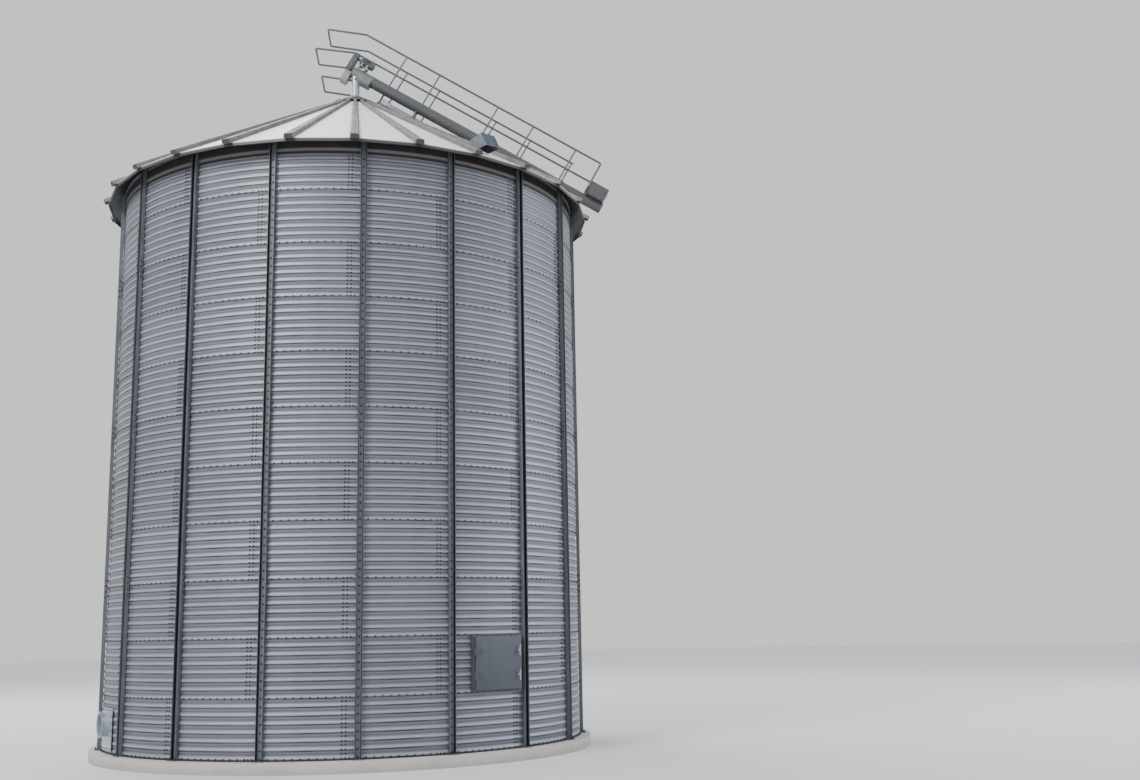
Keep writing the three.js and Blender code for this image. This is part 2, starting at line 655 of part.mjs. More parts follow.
// Manway frame: a flat bar ring let into the wall, with the hinge lugs at its left
function addDoorFrame() {
  const side = FRAME_WIDTH / 2;
  const outer = block([-side, FRAME_FRONT, FRAME_BOTTOM], [side, FRAME_BACK, FRAME_TOP]);
  const inner = block(
    [-side + FRAME_BAR, FRAME_FRONT - CUT_MARGIN, FRAME_BOTTOM + FRAME_BAR],
    [side - FRAME_BAR, FRAME_BACK + CUT_MARGIN, FRAME_TOP - FRAME_BAR],
  );
  const lugs = HINGE_HEIGHTS.flatMap((height) => [-1, 1].flatMap((way) => {
    const near = height + way * (HINGE_LENGTH / 2 + 2 * GAP);
    const far = near + way * LUG_LENGTH;
    const [low, high] = [Math.min(near, far), Math.max(near, far)];
    const knuckle = bar(
      new THREE.Vector3(HINGE_AXIS.x, HINGE_AXIS.y, low),
      new THREE.Vector3(HINGE_AXIS.x, HINGE_AXIS.y, high), HINGE_RADIUS, PIN_SIDES,
    );
    const web = block(
      [HINGE_AXIS.x - HINGE_RADIUS, HINGE_AXIS.y, low],
      [HINGE_AXIS.x + HINGE_RADIUS, FRAME_FRONT + OVERLAP, high],
    );
    return [knuckle, web];
  }));
  addPiece('door_frame', join([outer, ...lugs], [inner]), doorSteel);
}

// Manway door: a flat plate with a turned-back rim, on two hinge barrels at its left edge
function addDoor() {
  const hinge = new THREE.Group();
  hinge.position.copy(HINGE_AXIS);
  silo.add(hinge);
  const left = -DOOR_WIDTH / 2 - HINGE_AXIS.x;
  const right = DOOR_WIDTH / 2 - HINGE_AXIS.x;
  const [low, high] = [-DOOR_HEIGHT / 2, DOOR_HEIGHT / 2];
  const back = FRAME_FRONT - GAP - HINGE_AXIS.y;
  const front = back - DOOR_RIM;
  const plate = block([left, front, low], [right, back, high]);
  const hollow = block(
    [left + DOOR_THICKNESS, front + DOOR_THICKNESS, low + DOOR_THICKNESS],
    [right - DOOR_THICKNESS, back + CUT_MARGIN, high - DOOR_THICKNESS],
  );
  const hinges = HINGE_HEIGHTS.flatMap((height) => {
    const [foot, head] = [-1, 1].map((way) => height - HINGE_AXIS.z + way * HINGE_LENGTH / 2);
    return [
      bar(new THREE.Vector3(0, 0, foot), new THREE.Vector3(0, 0, head), HINGE_RADIUS, PIN_SIDES),
      block([0, front - LEAF.proud, foot], [LEAF.length, front + LEAF.sunk, head]),
    ];
  });
  addPiece('door_panel', join([plate, ...hinges], [hollow]), doorSteel, hinge);
  LATCH_HEIGHTS.forEach((height, i) => {
    const x = right - LATCH.inset;
    const z = height - HINGE_AXIS.z;
    const boss = bar(
      new THREE.Vector3(x, front - GAP, z), new THREE.Vector3(x, front - LATCH.bossReach, z),
      LATCH.boss, SHAFT_SIDES,
    );
    const handle = block(
      [x - LATCH.width / 2, front - LATCH.handleReach, z - LATCH.length / 2],
      [x + LATCH.width / 2, front - LATCH.handleBack, z + LATCH.length / 2],
    );
    addPiece(`door_latch_${i + 1}`, join([boss, handle]), railSteel, hinge);
  });
}

// Aeration port: a short flanged duct through the wall, on a flat backing plate
function addPort() {
  const { width, bottom, top, thickness } = PORT_PLATE;
  const back = -(WALL_RADIUS + GAP);
  const plate = block([-width / 2, back - thickness, bottom], [width / 2, back, top])
    .applyMatrix4(toBearing(PORT_BEARING));
  const outer = WALL_RADIUS + PORT_REACH;
  const duct = portCylinder(PORT_RADIUS + PORT_SHEET, WALL_RADIUS - PORT_INSIDE, outer);
  const flange = portCylinder(PORT_FLANGE_RADIUS, outer - PORT_SHEET, outer);
  const bore = portCylinder(PORT_RADIUS, WALL_RADIUS - CUT_MARGIN, outer + CUT_MARGIN);
  addPiece('aeration_port', join([plate, duct, flange], [bore]), railSteel);
}

addWall();
addStiffeners();
const capTop = addRoof();
addAuger(capTop);
addWalkwayDeck();
addPeakFloor();
addRails();
addHoods();
addDoorFrame();
addDoor();
addPort();

export default silo;
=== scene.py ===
"""Grain silo: sheets, fixings, roof, auger, walkway and finishes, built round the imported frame.

Metres, +Z up, origin on the ground under the silo's axis. Bearings are degrees round the axis,
from -Y (the manway's side) towards +X.
"""

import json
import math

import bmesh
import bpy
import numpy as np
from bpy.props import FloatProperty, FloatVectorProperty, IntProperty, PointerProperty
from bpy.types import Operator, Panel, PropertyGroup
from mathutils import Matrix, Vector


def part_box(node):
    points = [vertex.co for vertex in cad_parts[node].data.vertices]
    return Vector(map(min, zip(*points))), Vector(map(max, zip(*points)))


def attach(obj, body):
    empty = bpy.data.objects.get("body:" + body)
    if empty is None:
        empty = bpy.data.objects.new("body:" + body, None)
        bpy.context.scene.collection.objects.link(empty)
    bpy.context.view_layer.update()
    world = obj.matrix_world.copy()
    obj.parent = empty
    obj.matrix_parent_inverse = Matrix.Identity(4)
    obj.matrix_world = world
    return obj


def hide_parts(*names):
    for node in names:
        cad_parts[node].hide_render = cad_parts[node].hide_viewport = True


bl_info = {
    "name": "Grain silo",
    "version": (1, 0, 0),
    "blender": (4, 5, 0),
    "location": "View3D > Sidebar > Silo",
    "description": "Builds the sheets, fixings and finishes of a grain silo round its frame",
    "category": "Object",
}

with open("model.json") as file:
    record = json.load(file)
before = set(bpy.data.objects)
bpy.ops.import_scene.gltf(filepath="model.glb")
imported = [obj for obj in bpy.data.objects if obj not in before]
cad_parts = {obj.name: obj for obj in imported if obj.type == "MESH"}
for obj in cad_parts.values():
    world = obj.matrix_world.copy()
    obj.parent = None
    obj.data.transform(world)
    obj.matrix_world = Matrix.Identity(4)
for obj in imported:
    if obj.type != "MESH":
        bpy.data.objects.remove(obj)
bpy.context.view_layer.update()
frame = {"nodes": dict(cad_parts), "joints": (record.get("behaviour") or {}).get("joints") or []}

FINISH_NAME = "finish_{}"
BODY = "silo"
DOOR = "door"
NODES = sorted(frame["nodes"])
HINGE_X, HINGE_Y = frame["joints"][0]["pos_m"][:2]

BASE_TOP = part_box("concrete_base")[1].z
BASE_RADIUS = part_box("concrete_base")[1].x
WALL_FOOT, WALL_TOP = (corner.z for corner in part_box("wall_sector_1"))
CAP_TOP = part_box("peak_cap")[1].z

# The plain band under the eave
BAND_FOOT = 9.268
BAND_HEAD = 9.50

# How far a piece stands off what it sits on
SEAT = 0.0003

SIDES = (-1, 1)
X_AXIS, Y_AXIS, Z_AXIS = (1, 0, 0), (0, 1, 0), (0, 0, 1)


def nodes_named(start):
    """The frame's nodes whose names begin with some words."""
    return [name for name in NODES if name.startswith(start)]


def length(name, default, description):
    """A property that holds a length in metres."""
    return FloatProperty(name=name, default=default, description=description, unit="LENGTH", precision=4)


def turn(name, default, description):
    """A property that holds an angle in degrees."""
    return FloatProperty(name=name, default=default, description=description, precision=3)


def tone(name, default, description):
    """A property that holds a colour."""
    return FloatVectorProperty(name=name, default=default, description=description, subtype="COLOR",
                               size=3, min=0, max=1)


class SiloWallSizes(PropertyGroup):
    """Sizes of the corrugated wall and its posts."""

    crest: length("Crest radius", 4.0112, "Radius of the sheets' outer crests")
    depth: length("Wave depth", 0.0135, "Depth of the corrugation")
    waves: IntProperty(name="Waves a ring", default=7, description="Corrugations in one ring of sheets")
    ring_height: length("Ring height", 0.85, "Height from one bolt row to the next")
    ring_count: IntProperty(name="Rings", default=11, description="Rings of sheets")
    sheets_round: IntProperty(name="Sheets round", default=9, description="Sheets in one ring")
    first_row: length("First bolt row", 0.2, "Height of the lowest bolt row")
    sheet: length("Sheet", 0.0012, "Thickness of the wall sheet")
    lap: length("Lap", 0.03, "How far a ring reaches past its bolt row")
    post_count: IntProperty(name="Posts", default=18, description="Stiffener posts round the wall")
    first_post: turn("First post", -11.6, "Bearing of the first post")
    post_back: length("Post back", 4.0163, "Distance from the axis to the posts' back face")
    post_width: length("Post width", 0.1, "Width of a post's channel")
    post_depth: length("Post depth", 0.06, "Depth of a post's channel")
    post_sheet: length("Post sheet", 0.006, "Thickness of a post's channel")
    seam_offset: turn("Seam offset", -2.9, "Bearing of a seam from the post beside it")

    @property
    def pitch(self):
        """Height of one wave."""
        return self.ring_height / self.waves

    @property
    def bay(self):
        """Degrees from one post to the next."""
        return 360 / self.post_count

    @property
    def sheet_turn(self):
        """Degrees from one seam of a ring to the next."""
        return 360 / self.sheets_round

    def row(self, number):
        """Height of a bolt row, counted from the lowest."""
        return self.first_row + number * self.ring_height


class SiloRoofSizes(PropertyGroup):
    """Sizes of the ribbed cone roof, its cap and its hoods."""

    rib_count: IntProperty(name="Ribs", default=27, description="Ribs round the roof")
    first_rib: turn("First rib", -33.7, "Bearing of the first rib")
    slope: turn("Slope", 30.0, "Slope of the roof along a rib")
    eave_radius: length("Eave radius", 4.3, "Radius of the panels' lower corners")
    eave_height: length("Eave height", 9.43, "Height of the panels' lower corners")
    hole_radius: length("Hole radius", 0.43, "Radius of the hole under the cap")
    lip: length("Lip", 0.06, "Height of the panels' turned-down lip")
    cap_radius: length("Cap radius", 0.5, "Radius of the cap's rim")
    hood_bearing: turn("Hood bearing", -2.5, "Bearing of the first vent hood")
    hood_radius: length("Hood radius", 3.95, "Distance of a hood's foot from the axis")
    hood_width: length("Hood width", 0.27, "Width of a vent hood")

    @property
    def sector(self):
        """Degrees from one rib to the next."""
        return 360 / self.rib_count

    @property
    def fall(self):
        """How far a rib falls for each metre out."""
        return math.tan(math.radians(self.slope))


class SiloAugerSizes(PropertyGroup):
    """Sizes of the auger over the roof and the walkway beside it."""

    bearing: turn("Bearing", 52.9667, "Bearing that the auger runs down")
    slope: turn("Slope", 29.2, "Slope of the auger")
    height: length("Height", 12.391, "Height of the auger's axis over the peak")
    tube: length("Tube radius", 0.1, "Outer radius of the tube")
    tube_start: length("Tube start", -0.05, "Upper end of the tube, along the auger")
    tube_end: length("Tube end", 5.32, "Lower end of the tube, along the auger")
    rail: length("Rail radius", 0.02, "Outer radius of a handrail")
    post: length("Post radius", 0.017, "Outer radius of a handrail post")
    near: length("Near rail", 0.13, "Distance of the near handrail from the tube's axis")
    far: length("Far rail", 0.854, "Distance of the far handrail from the tube's axis")
    deck: length("Deck", -0.225, "Offset of the walkway's deck from the tube's axis")
    deck_end: length("Deck end", 4.89, "Lower end of the deck, along the auger")
    top_rail: length("Top rail", 0.851, "Offset of the top rail from the tube's axis")
    mid_rail: length("Middle rail", 0.417, "Offset of the middle rail from the tube's axis")


class SiloColours(PropertyGroup):
    """Colours of the silo's finishes."""

    # The two wave tones are painted reflections: above a crest, of the sky, and under a crest, of the ground
    sky: tone("Upper wave", (0.365, 0.395, 0.475), "Wall sheet above a crest")
    sand: tone("Lower wave", (0.112, 0.111, 0.125), "Wall sheet under a crest")
    # A painted dark line of shade under each crest of the wall
    grime: tone("Grime", (0.018, 0.019, 0.032), "Grime in the wall's waves")
    # The roof panels' near-white tone is a painted reflection of the sun
    roof: tone("Roof sheet", (0.90, 0.895, 0.875), "Bright roof panels")
    rib: tone("Rib", (0.195, 0.188, 0.182), "Dusty roof ribs")
    # The band under the eave is painted dark with the overhang's shadow
    eave: tone("Eave", (0.032, 0.029, 0.031), "Shadowed band under the eave")
    # The roof's lip is painted dark with the shade that falls on it
    lip: tone("Lip", (0.060, 0.056, 0.054), "Weathered lip of the roof")
    # Painted shade on the roof's underside
    soffit: tone("Soffit", (0.017, 0.018, 0.017), "Underside of the roof")
    post: tone("Post", (0.135, 0.155, 0.17), "Weathered posts")
    rail: tone("Rail", (0.13, 0.135, 0.145), "Handrails and walkway")
    tube: tone("Auger tube", (0.09, 0.098, 0.10), "Weathered auger tube")
    head: tone("Auger head", (0.175, 0.19, 0.195), "Housing at the auger's upper end")
    kick: tone("Kick plate", (0.40, 0.45, 0.52), "Kick plates of newer zinc")
    bright: tone("Bright zinc", (0.50, 0.55, 0.63), "Spout, port and latches")
    door: tone("Door", (0.075, 0.083, 0.105), "Manway door")
    hood: tone("Hood", (0.22, 0.235, 0.275), "Vent hoods")
    face: tone("Hood face", (0.078, 0.120, 0.160), "Sloping face of the vent hoods")
    machine: tone("Machine paint", (0.05, 0.062, 0.068), "Motor and belt guard")
    pale: tone("Pale paint", (0.30, 0.305, 0.295), "Guard's lower end and motor's mount")
    bolt: tone("Bolt", (0.022, 0.023, 0.028), "Bolt heads and washers")
    rubber: tone("Rubber", (0.02, 0.02, 0.022), "Gaskets and sealant")
    concrete: tone("Concrete", (0.48, 0.46, 0.43), "Cast base")
    floor: tone("Floor", (0.74, 0.74, 0.735), "Studio floor")


def sizes(group):
    """One of the groups of sizes that a user may change."""
    return getattr(bpy.context.scene, f"silo_{group}")


def chosen(name):
    """One of the colours that a user may change."""
    return tuple(getattr(bpy.context.scene.silo_colours, name))


# Shader maths

class Value:
    """A socket of a material, whose arithmetic adds Math nodes."""

    def __init__(self, shader, socket):
        self.shader = shader
        self.socket = socket

    def __add__(self, other):
        return self.shader.math("ADD", self, other)

    def __radd__(self, other):
        return self.shader.math("ADD", other, self)

    def __sub__(self, other):
        return self.shader.math("SUBTRACT", self, other)

    def __rsub__(self, other):
        return self.shader.math("SUBTRACT", other, self)

    def __mul__(self, other):
        return self.shader.math("MULTIPLY", self, other)

    def __rmul__(self, other):
        return self.shader.math("MULTIPLY", other, self)

    def __truediv__(self, other):
        return self.shader.math("DIVIDE", self, other)

    def __rtruediv__(self, other):
        return self.shader.math("DIVIDE", other, self)


class Shader:
    """The nodes of a material or of the world, built from expressions."""

    def __init__(self, name, owner=None, coordinate="Object"):
        self.owner = owner or bpy.data.materials.new(FINISH_NAME.format(name))
        self.owner.use_nodes = True
        self.tree = self.owner.node_tree
        self.tree.nodes.clear()
        self.place = self.node("ShaderNodeTexCoord", output=coordinate)
        self.x, self.y, self.z = (self.node("ShaderNodeSeparateXYZ", inputs={0: self.place}, output=axis)
                                  for axis in "XYZ")

    def node(self, kind, settings=None, inputs=None, output=0):
        """Adds a node: its settings first, then the values or links of its sockets."""
        made = self.tree.nodes.new(kind)
        for key, setting in (settings or {}).items():
            if key == "stops":
                self._set_stops(made.color_ramp, setting)
            else:
                setattr(made, key, setting)
        for key, given in (inputs or {}).items():
            if isinstance(given, Value):
                self.tree.links.new(given.socket, made.inputs[key])
            else:
                made.inputs[key].default_value = given
        return Value(self, made.outputs[output]) if made.outputs else None

    @staticmethod
    def _set_stops(ramp, stops):
        while len(ramp.elements) < len(stops):
            ramp.elements.new(1)
        for element, (position, level) in zip(ramp.elements, stops):
            element.position = position
            element.color = (level, level, level, 1)

    def math(self, operation, *values):
        """A Math node on one value or two."""
        return self.node("ShaderNodeMath", {"operation": operation}, dict(enumerate(values)))

    def ramp(self, value, *stops):
        """A level that follows (position, level) stops."""
        return self.node("ShaderNodeValToRGB", {"stops": stops}, {0: value})

    def stretch(self, x, y, z):
        """The place on the piece, scaled along each axis."""
        return self.node("ShaderNodeVectorMath", {"operation": "MULTIPLY"}, {0: self.place, 1: (x, y, z)})

    def noise(self, scale, detail=3.0, place=None):
        """Soft noise, from 0 to 1."""
        return self.node("ShaderNodeTexNoise",
                         inputs={"Vector": place or self.place, "Scale": scale, "Detail": detail})

    def patches(self, scale, low=0.4, high=0.65, place=None):
        """Noise with its middle drawn out: 0 below one level and 1 above the other."""
        return self.ramp(self.noise(scale, 4.0, place), (low, 0), (high, 1))

    def spangle(self, scale):
        """A level of its own in each crystal of the zinc."""
        colour = self.node("ShaderNodeTexVoronoi", None, {"Vector": self.place, "Scale": scale}, "Color")
        return self.node("ShaderNodeSeparateColor", inputs={0: colour})

    def chance(self, *numbers):
        """A level of its own for each set of whole numbers."""
        key = self.node("ShaderNodeCombineXYZ", inputs=dict(enumerate(numbers)))
        return self.node("ShaderNodeTexWhiteNoise", {"noise_dimensions": "3D"}, {"Vector": key})

    def mix(self, factor, first, second, blend="MIX"):
        """One colour over another, by a factor from 0 to 1."""
        made = {0: factor}
        for socket, colour in ((6, first), (7, second)):
            made[socket] = colour if isinstance(colour, Value) else (*colour, 1)
        return self.node("ShaderNodeMix", {"data_type": "RGBA", "blend_type": blend}, made, 2)

    def shaded(self, colour, level):
        """A colour made darker or lighter by a level round 1."""
        grey = self.node("ShaderNodeCombineColor", inputs={0: level, 1: level, 2: level})
        return self.mix(1.0, colour, grey, "MULTIPLY")

    def bearing(self):
        """Degrees round the silo's axis, from the manway's side."""
        return self.math("ARCTAN2", self.x, self.y * -1.0) * math.degrees(1)

    def reach(self):
        """Distance from the silo's axis."""
        flat = self.stretch(1, 1, 0)
        return self.node("ShaderNodeVectorMath", {"operation": "LENGTH"}, {0: flat}, "Value")

    def surface(self):
        """The direction that the surface faces."""
        return self.node("ShaderNodeNewGeometry", output="Normal")

    def underside(self):
        """Where the surface faces down: 1 under a ledge and 0 on walls and above."""
        upward = self.node("ShaderNodeSeparateXYZ", inputs={0: self.surface()}, output="Z")
        return self.ramp(upward + 1, (0.55, 1), (0.85, 0))

    def edge_wear(self, radius):
        """Where the surface turns sharply: 1 on edges and 0 on flats."""
        soft = self.node("ShaderNodeBevel", {"samples": 4}, {"Radius": radius})
        match = self.node("ShaderNodeVectorMath", {"operation": "DOT_PRODUCT"},
                          {0: soft, 1: self.surface()}, "Value")
        return self.ramp(match, (0.80, 1), (0.99, 0))

    def finish(self, colour, roughness, metallic, height=None, depth=0.0004):
        """Ends the material with its surface, and a bump where a height is given."""
        inputs = {"Base Color": colour, "Roughness": roughness, "Metallic": metallic}
        if height is not None:
            inputs["Normal"] = self.node("ShaderNodeBump", inputs={"Height": height, "Distance": depth})
        surface = self.node("ShaderNodeBsdfPrincipled", inputs=inputs)
        self.node("ShaderNodeOutputMaterial", inputs={"Surface": surface})
        return self.owner


# Finishes

# Up one wave of the wall from its crest: how much of the painted sky reflection shows, and where the painted
# line of shade lies
WAVE_REFLECTION = ((0, 0.55), (0.08, 0.95), (0.22, 0.9), (0.34, 0.42), (0.44, 0.16), (0.58, 0.12), (0.68, 0.36),
             (0.76, 0.42), (0.92, 0.2), (1, 0.55))
WAVE_SHADE_LINE = ((0.77, 0), (0.85, 0.95), (0.95, 1), (1.0, 0))
SHEET_SEED = 3.0

# Across a post in degrees from its middle, and out from its back: the shaded inner face of its flanges
FLANGE_ACROSS = ((0.46, 0), (0.53, 1), (0.64, 1), (0.66, 0))
FLANGE_OUT = ((0.5, 1), (0.75, 0))

FLOOR_FADE = 60


def wall_sheet():
    """Corrugated zinc sheet: painted reflections of the sky over each crest and of the ground under it, and a
    painted line of shade under each crest.
    """
    wall = sizes("wall")
    shade = Shader("wall_sheet")
    rise = shade.z - wall.first_row
    wave = shade.math("FRACT", rise / wall.pitch)
    ring = shade.math("FLOOR", rise / wall.ring_height)
    seam = wall.first_post + wall.seam_offset - wall.bay
    stagger = shade.math("FRACT", ring * 0.5)
    sheet = shade.math("FLOOR", (shade.bearing() - seam) / wall.sheet_turn + stagger)
    own = shade.chance(ring, sheet, SHEET_SEED)
    cloud = shade.noise(0.9, 4.0)
    streak = shade.noise(1.0, 3.0, shade.stretch(9, 9, 0.5))
    crystal = shade.spangle(70)
    patchy = shade.ramp(shade.noise(2.2, 4.0, shade.stretch(1, 1, 0.35)), (0.3, 0.45), (0.65, 1))
    # Painted reflections: lighter above each crest, as the sky mirrored in it, and darker under it, as the
    # ground
    colour = shade.mix(shade.ramp(wave, *WAVE_REFLECTION), chosen("sand"), chosen("sky"))
    # A painted dark line of shade under each crest, patchy along the wall
    colour = shade.mix(shade.ramp(wave, *WAVE_SHADE_LINE) * patchy * 0.92, colour, chosen("grime"))
    colour = shade.shaded(colour, 0.68 + own * 0.16 + cloud * 0.16 + streak * 0.12 + crystal * 0.07)
    return shade.finish(colour, 0.40 + crystal * 0.08 + cloud * 0.12, 0.35,
                        crystal * 0.4 + shade.noise(14), 0.0006)


def roof_sheet():
    """Zinc panels, their near-white tone a painted reflection of the sun, dusty under the ribs, with painted
    shade on the lip at the eave and on the underside.
    """
    roof = sizes("roof")
    shade = Shader("roof_sheet")
    crystal = shade.spangle(60)
    cloud = shade.noise(1.3, 4.0)
    dust = shade.patches(2.5, 0.5, 0.75)
    lip = shade.ramp((roof.eave_height - shade.z) / roof.lip, (0.0, 0), (0.15, 0.7), (0.35, 1))
    # The panels' near-white tone is a painted reflection of the sun
    colour = shade.mix(dust * 0.25, chosen("roof"), (0.45, 0.43, 0.39))
    # Painted shade on the lip at the eave
    colour = shade.mix(lip, colour, chosen("lip"))
    # Painted shade where the panels face down
    colour = shade.mix(shade.underside(), colour, chosen("soffit"))
    colour = shade.shaded(colour, 0.88 + cloud * 0.12 + crystal * 0.06)
    return shade.finish(colour, 0.42 + cloud * 0.15, 0.1, crystal * 0.3 + shade.noise(6), 0.0008)


def rib_steel():
    """Roof ribs under dust and lichen, lighter on their edges, with painted shade where they face down."""
    shade = Shader("rib_steel")
    stain = shade.patches(7, 0.42, 0.62)
    fine = shade.patches(40, 0.35, 0.7)
    colour = shade.mix(stain * 0.4, chosen("rib"), (0.085, 0.083, 0.082))
    colour = shade.mix(fine * 0.25, colour, (0.29, 0.275, 0.25))
    colour = shade.mix(shade.edge_wear(0.006) * 0.55, colour, (0.50, 0.49, 0.46))
    # Painted shade where the ribs face down
    colour = shade.mix(shade.underside() * 0.8, colour, (0.035, 0.034, 0.033))
    return shade.finish(colour, 0.55 + stain * 0.2, 0.2, fine, 0.001)


def eave_steel():
    """The smooth band under the eave, painted dark with the overhang's shadow, with one lighter strip along
    it and a painted line of shadow under the strip.
    """
    shade = Shader("eave_steel")
    cloud = shade.patches(5)
    crystal = shade.spangle(80)
    rise = (shade.z - BAND_FOOT) / (BAND_HEAD - BAND_FOOT)
    strip = shade.ramp(rise, (0.18, 0), (0.22, 1), (0.38, 0.9), (0.45, 0))
    # The band's dark tone is painted shadow: the overhang's above the strip, and a line of shadow under it
    colour = shade.mix(cloud * 0.35, chosen("eave"), (0.055, 0.05, 0.05))
    colour = shade.mix(strip, colour, (0.21, 0.20, 0.205))
    colour = shade.shaded(colour, 0.85 + crystal * 0.2)
    return shade.finish(colour, 0.5 + cloud * 0.15, 0.25, crystal)


def post_steel():
    """Hot-dipped posts, dull and streaked, with painted shade on the inner faces of their flanges."""
    wall = sizes("wall")
    shade = Shader("post_steel")
    streak = shade.noise(1.0, 4.0, shade.stretch(22, 22, 0.9))
    cloud = shade.patches(3.0)
    crystal = shade.spangle(110)
    bays = (shade.bearing() - wall.first_post) / wall.bay
    aside = shade.math("ABSOLUTE", shade.math("FRACT", bays + 0.5) - 0.5) * wall.bay
    out = (shade.reach() - wall.post_back) / wall.post_depth
    flange = shade.ramp(aside, *FLANGE_ACROSS) * shade.ramp(out, *FLANGE_OUT)
    colour = shade.mix(cloud * 0.35, chosen("post"), (0.20, 0.225, 0.245))
    # Painted shade on the inner face of each flange
    colour = shade.mix(flange * 0.9, colour, (0.010, 0.012, 0.016))
    colour = shade.shaded(colour, 0.72 + streak * 0.4 + crystal * 0.12)
    return shade.finish(colour, 0.45 + cloud * 0.15, 0.45, crystal)


def tube_steel():
    """The auger tube, in a dark tone with mottles and scuffs."""
    shade = Shader("tube_steel")
    mottle = shade.patches(22, 0.40, 0.64)
    tint = shade.patches(4, 0.45, 0.6)
    scuff = shade.patches(60, 0.5, 0.7)
    colour = shade.mix(mottle * 0.35, chosen("tube"), (0.15, 0.15, 0.155))
    colour = shade.mix(tint * 0.3, colour, (0.125, 0.105, 0.125))
    colour = shade.mix(scuff * 0.3, colour, (0.05, 0.05, 0.055))
    return shade.finish(colour, 0.5 + mottle * 0.15, 0.3, scuff, 0.0005)


def clouded_zinc(name, colours, share, scale, crystals, light, roughness, metallic, spread=(0.4, 0.65),
                 depth=0.0004):
    """Zinc with patches of a second tone, and crystals that show in its tone and its surface."""
    shade = Shader(name)
    cloud = shade.patches(scale, *spread)
    crystal = shade.spangle(crystals)
    colour = shade.mix(cloud * share, *colours)
    colour = shade.shaded(colour, light[0] + crystal * light[1])
    return shade.finish(colour, roughness[0] + cloud * roughness[1], metallic, crystal, depth)


def rail_steel():
    """Galvanised tube and bar, duller where it is handled."""
    return clouded_zinc("rail_steel", (chosen("rail"), (0.085, 0.088, 0.095)), share=0.4, scale=5,
                        crystals=160, light=(0.86, 0.25), roughness=(0.42, 0.2), metallic=0.45, depth=0.0003)


def head_steel():
    """The auger head's housing, greyed zinc under dust."""
    return clouded_zinc("head_steel", (chosen("head"), (0.26, 0.275, 0.275)), share=0.5, scale=9, crystals=80,
                        light=(0.84, 0.2), roughness=(0.45, 0.15), metallic=0.4, spread=(0.38, 0.66))


def kick_steel():
    """Kick plates of newer zinc, with a blue cast."""
    return clouded_zinc("kick_steel", (chosen("kick"), (0.28, 0.31, 0.35)), share=0.35, scale=4, crystals=90,
                        light=(0.86, 0.18), roughness=(0.40, 0.15), metallic=0.5)


def bright_steel():
    """New zinc on the spout, the port and the latches."""
    return clouded_zinc("bright_steel", (chosen("bright"), (0.34, 0.375, 0.42)), share=0.35, scale=6,
                        crystals=90, light=(0.85, 0.2), roughness=(0.34, 0.15), metallic=0.6)


def door_steel():
    """Dark galvanised plate with runs down it."""
    shade = Shader("door_steel")
    cloud = shade.patches(3.2, 0.38, 0.68)
    streak = shade.noise(1.0, 4.0, shade.stretch(26, 26, 1.5))
    crystal = shade.spangle(75)
    colour = shade.mix(cloud * 0.3, chosen("door"), (0.11, 0.12, 0.14))
    colour = shade.shaded(colour, 0.72 + streak * 0.35 + crystal * 0.18)
    return shade.finish(colour, 0.45 + cloud * 0.15, 0.35, crystal)


def hood_steel():
    """Folded zinc sheet, with rain runs down its sides."""
    shade = Shader("hood_steel")
    cloud = shade.patches(4)
    streak = shade.patches(1.0, 0.42, 0.6, shade.stretch(55, 12, 4))
    crystal = shade.spangle(90)
    colour = shade.mix(cloud * 0.25, chosen("hood"), (0.30, 0.31, 0.34))
    colour = shade.mix(streak * 0.35, colour, (0.075, 0.10, 0.125))
    colour = shade.shaded(colour, 0.86 + crystal * 0.18)
    return shade.finish(colour, 0.42 + cloud * 0.15, 0.4, crystal)


def hood_face():
    """The hoods' sloping face, in a darker tone than their sides, with rain runs."""
    shade = Shader("hood_face")
    streak = shade.patches(1.0, 0.40, 0.62, shade.stretch(48, 14, 5))
    crystal = shade.spangle(90)
    colour = shade.mix(streak * 0.8, chosen("face"), (0.028, 0.048, 0.070))
    colour = shade.shaded(colour, 0.86 + crystal * 0.18)
    return shade.finish(colour, 0.42 + streak * 0.15, 0.3, crystal)


def machine_paint():
    """Enamel on the motor and the belt guard, chipped on its edges."""
    shade = Shader("machine_paint")
    cloud = shade.patches(9)
    chips = shade.edge_wear(0.004) * shade.patches(60, 0.4, 0.55)
    colour = shade.mix(cloud * 0.3, chosen("machine"), (0.22, 0.23, 0.23))
    colour = shade.mix(chips, colour, (0.42, 0.41, 0.39))
    return shade.finish(colour, 0.38 + cloud * 0.2, 0.15, shade.noise(180), 0.0003)


def pale_paint():
    """The lighter enamel on the guard's lower end and the motor's mount."""
    shade = Shader("pale_paint")
    cloud = shade.patches(12)
    colour = shade.mix(cloud * 0.4, chosen("pale"), (0.19, 0.20, 0.195))
    return shade.finish(colour, 0.45 + cloud * 0.2, 0.1, shade.noise(180), 0.0003)


def bolt_zinc():
    """Dark plated bolt heads and their washers."""
    shade = Shader("bolt_zinc")
    cloud = shade.patches(30, 0.4, 0.6)
    colour = shade.mix(cloud * 0.5, chosen("bolt"), (0.12, 0.12, 0.125))
    return shade.finish(colour, 0.42 + cloud * 0.2, 0.5, shade.noise(300), 0.0003)


def rubber():
    """Gasket and sealant, with a dusty bloom."""
    shade = Shader("rubber")
    bloom = shade.patches(25, 0.45, 0.7)
    colour = shade.mix(bloom * 0.3, chosen("rubber"), (0.10, 0.10, 0.095))
    return shade.finish(colour, 0.75, 0.0, shade.noise(150), 0.0006)


